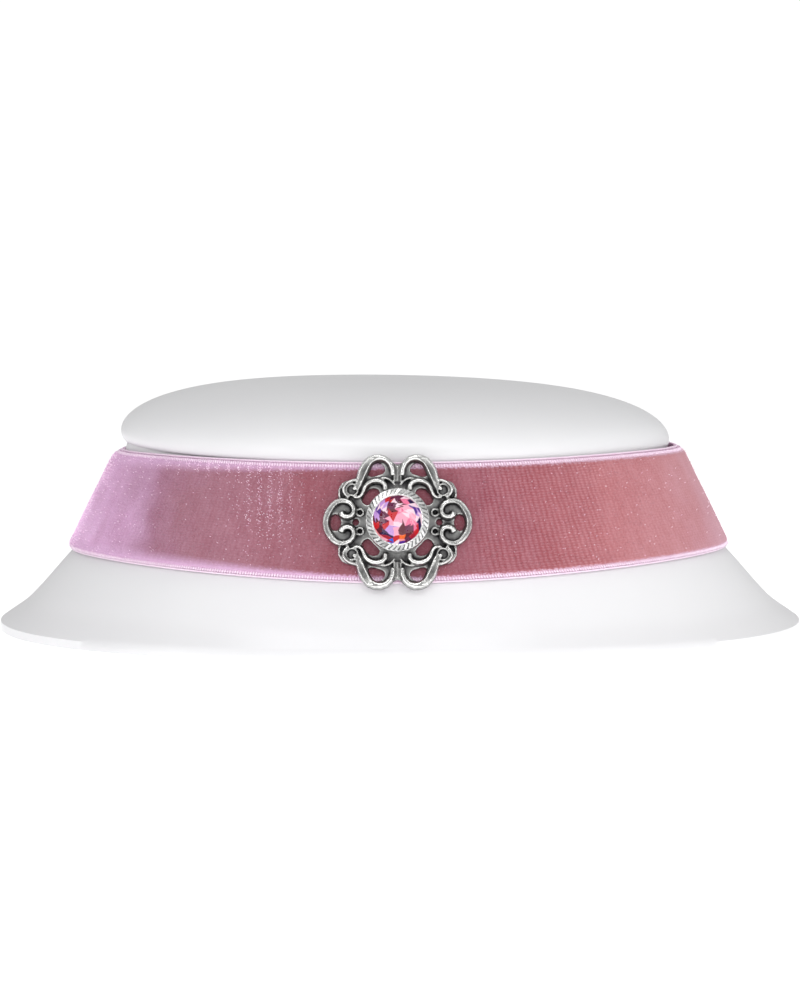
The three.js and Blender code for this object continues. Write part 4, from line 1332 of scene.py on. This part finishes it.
def foil():
    material, nodes = finish_nodes("crystal_foil")
    flash = nodes.add("ShaderNodeAttribute", {"attribute_name": FLASH}, None, "Color")
    grain = noise(nodes, object_place(nodes), 0.5 * MM)
    base = blend(nodes, 1, flash, (0.2, 0.2, 0.2, 1), "MULTIPLY")
    fixed = {"Specular IOR Level": 0.05, "Emission Strength": 0.8}
    varying = {"Base Color": base, "Emission Color": flash, "Roughness": grain * 0.1 + 0.3}
    close_finish(nodes, fixed, varying)
    return material


# %% Flashes
WHITE = srgb(255, 240, 246)
PALE = srgb(255, 186, 206)
PINK = srgb(246, 132, 168)
PEACH = srgb(250, 160, 160)
RED = srgb(206, 28, 34)
CRIMSON = srgb(176, 24, 48)
MAROON = srgb(92, 10, 34)
PLUM = srgb(96, 18, 66)
VIOLET = srgb(92, 58, 156)
LAVENDER = srgb(206, 170, 238)
NAVY = srgb(40, 22, 78)
BLUE = srgb(36, 110, 236)
ORANGE = srgb(255, 120, 40)
# Where each flash is seen: right of and above the stone's middle, in mm
FLASHES = [
    (0.0, -0.3, WHITE), (-1.1, 0.0, PALE), (0.6, 0.4, PALE), (1.7, 0.9, WHITE), (1.4, 1.8, PALE),
    (0.6, 1.6, PINK), (-0.7, 1.4, MAROON), (-1.3, 1.0, RED), (0.8, -1.2, MAROON), (1.5, -1.1, PLUM),
    (-1.0, -1.3, LAVENDER), (-1.7, -0.7, RED), (-0.3, -1.9, PALE), (0.5, -2.5, ORANGE), (0.9, -1.9, MAROON),
    (-1.6, -1.9, NAVY), (-2.0, 0.9, PLUM), (-2.2, -0.1, PLUM), (-2.8, 0.4, MAROON), (-3.3, -0.7, RED),
    (-2.7, -1.4, MAROON), (-2.9, -2.2, PEACH), (-2.2, -2.9, PALE), (-1.7, -2.6, CRIMSON),
    (-1.0, -3.4, BLUE), (-0.2, -2.7, RED), (0.0, -3.4, WHITE), (0.4, -3.7, VIOLET), (0.9, -3.2, PEACH),
    (1.5, -2.2, MAROON), (2.1, -2.4, CRIMSON), (1.7, -3.2, PLUM), (3.0, -1.3, RED), (3.1, -0.3, NAVY),
    (2.3, -0.4, PINK), (2.4, 0.4, PALE), (3.6, 0.4, WHITE), (3.4, 1.2, LAVENDER), (2.8, 1.7, VIOLET),
    (2.4, 2.5, WHITE), (1.9, 3.2, NAVY), (1.3, 3.0, PINK), (0.7, 2.7, MAROON), (0.7, 3.5, WHITE),
    (0.0, 3.7, PLUM), (-0.3, 2.7, WHITE), (-0.5, 3.3, PLUM), (-1.3, 3.2, RED), (-1.2, 2.3, PLUM),
    (-2.1, 2.5, LAVENDER), (-2.4, 1.7, WHITE), (-3.0, 1.5, VIOLET), (-3.5, 0.6, LAVENDER),
]


# %% The foil
FOIL_SEED = 4
# Radius and height in mm, and how many facets go round there
FOIL_RINGS = [
    (3.95, 2.95, 24), (3.4, 2.67, 24), (2.8, 2.36, 20), (2.15, 2.02, 16), (1.5, 1.69, 12), (0.85, 1.37, 7),
]
FOIL_TIP = 1.02
FOIL_BACK = 0.72
FOIL_SKIRT = (3.9, 2.72)
RING_SHAKE = 0.2
STRAY_SHARE = 0.12


def facet_ring(radius, height, count, shift):
    """A ring of points on the stone, turned by a share of the step between them."""
    angle = (np.arange(count) + shift) / count * 2 * math.pi
    return placed(np.stack([radius * np.cos(angle), radius * np.sin(angle), height + 0 * angle], -1))


def zigzag(outer, inner):
    """Triangles between two rings whose counts may differ, in turn from each."""
    (outer_start, outer_count), (inner_start, inner_count) = outer, inner
    faces, i, j = [], 0, 0
    while i < outer_count or j < inner_count:
        out, inside = outer_start + i % outer_count, inner_start + j % inner_count
        ahead = j * outer_count >= (i + 0.5) * inner_count
        if ahead and i < outer_count or j >= inner_count:
            i += 1
            faces.append((out, outer_start + i % outer_count, inside))
        else:
            j += 1
            faces.append((out, inner_start + j % inner_count, inside))
    return faces


def make_foil():
    """Uneven facets that face the crown, closed behind by a skirt and a plain cone."""
    shake = np.random.default_rng(FOIL_SEED)
    rings = []
    for k, (radius, height, count) in enumerate(FOIL_RINGS):
        loose = RING_SHAKE if k else 0
        radii = radius + shake.uniform(-loose, loose, count)
        shift = 0.5 * (k % 2) + shake.uniform(-loose, loose, count)
        rings.append(facet_ring(radii * MM, height * MM, count, shift))
    rings.insert(0, facet_ring(FOIL_SKIRT[0] * MM, FOIL_SKIRT[1] * MM, len(rings[0]), 0))
    counts = [len(ring) for ring in rings]
    starts = np.cumsum([0] + counts).tolist()
    faces = []
    for k in range(len(rings) - 1):
        faces += zigzag((starts[k], counts[k]), (starts[k + 1], counts[k + 1]))
    tip, back = starts[-1], starts[-1] + 1
    faces += [(starts[-2] + i, starts[-2] + (i + 1) % counts[-1], tip) for i in range(counts[-1])]
    faces += [(i, back, (i + 1) % counts[0]) for i in range(counts[0])]
    points = np.concatenate([*rings, placed([[0, 0, FOIL_TIP * MM], [0, 0, FOIL_BACK * MM]])])
    piece = face_out(object_from("stone_foil", points, faces, [foil()]))
    paint_foil(piece)
    return piece


def paint_foil(piece):
    """Each facet's colour is that of the flash seen nearest to its middle, or of the next."""
    spots = np.array([flash[:2] for flash in FLASHES])
    stray = np.random.default_rng(FOIL_SEED).random(len(piece.data.polygons)) < STRAY_SHARE
    layer = piece.data.attributes.new(FLASH, "FLOAT_COLOR", "FACE")
    for face, slot in zip(piece.data.polygons, layer.data):
        offset = (np.array(face.center) - SEAT) / MM
        seen_at = (offset @ AXIS_RIGHT, offset @ AXIS_UP)
        nearest = np.linalg.norm(spots - seen_at, axis=1).argsort()
        slot.color = FLASHES[nearest[int(stray[face.index])]][2]


stone_foil = make_foil()

# %% The crown
GIRDLE_RADIUS = 4.15 * MM
GIRDLE_TOP = 3.3 * MM
GIRDLE_FOOT = 3.1 * MM
KITE_RADIUS = 3.2 * MM
KITE_HEIGHT = 4.05 * MM
TABLE_RADIUS = 2.35 * MM
TABLE_HEIGHT = 4.5 * MM
FLOOR_INSET = 0.05 * MM
FLOOR_DROP = 0.02 * MM


def make_crown():
    """A table, two rows of facets down to the girdle, and a flat floor under it."""
    points = np.concatenate([
        facet_ring(TABLE_RADIUS, TABLE_HEIGHT, 8, 0.5), facet_ring(KITE_RADIUS, KITE_HEIGHT, 8, 0),
        facet_ring(GIRDLE_RADIUS, GIRDLE_TOP, 16, 0), facet_ring(GIRDLE_RADIUS, GIRDLE_FOOT, 16, 0),
        facet_ring(GIRDLE_RADIUS - FLOOR_INSET, GIRDLE_FOOT - FLOOR_DROP, 16, 0),
    ])
    table, kites, girdle, lower, floor, end = 0, 8, 16, 32, 48, 64
    faces = [tuple(range(table, kites)), tuple(range(floor, end))[::-1]]
    for i in range(8):
        last, following, side = (i + 7) % 8, (i + 1) % 8, 2 * i
        faces.append((table + last, kites + i, table + i))
        faces.append((table + i, kites + i, girdle + side + 1, kites + following))
        faces.append((kites + i, girdle + side, girdle + side + 1))
        faces.append((kites + i, girdle + (side + 15) % 16, girdle + side))
    for i in range(16):
        j = (i + 1) % 16
        faces.append((girdle + i, lower + i, lower + j, girdle + j))
        faces.append((lower + i, floor + i, floor + j, lower + j))
    return object_from("stone_crown", points, faces, [clear_crown()])


crown = face_out(make_crown())
hand_over(crown, "rose_crystal", "crystal")
hand_over(stone_foil, "rose_crystal")

# %% [markdown]
# The hidden clasp at the back is one plain crimp plate of steel. Its solid has the right
# shape, so a copy of it only gets softened edges and a brushed finish.

# %% The clasp
def plain_steel():
    material, nodes = finish_nodes("plain_steel")
    place = object_place(nodes)
    brushed = noise(nodes, place, 0.3 * MM, 3, (0.08, 0.08, 1))
    colour = blend(nodes, brushed, srgb(176, 176, 178), srgb(206, 206, 208))
    varying = {
        "Base Color": colour, "Roughness": brushed * 0.2 + 0.28,
        "Normal": bump(nodes, brushed, 0.01 * MM),
    }
    close_finish(nodes, {"Metallic": 1.0}, varying)
    return material


soft_edges = dict(width=0.12 * MM, segments=3, angle_limit=math.radians(50))
clasp = dressed_copy("steel_clasp", "back_clasp", {"BEVEL": soft_edges}, plain_steel())
hand_over(shade_smooth(clasp, 40), "plain_steel", "back_clasp")
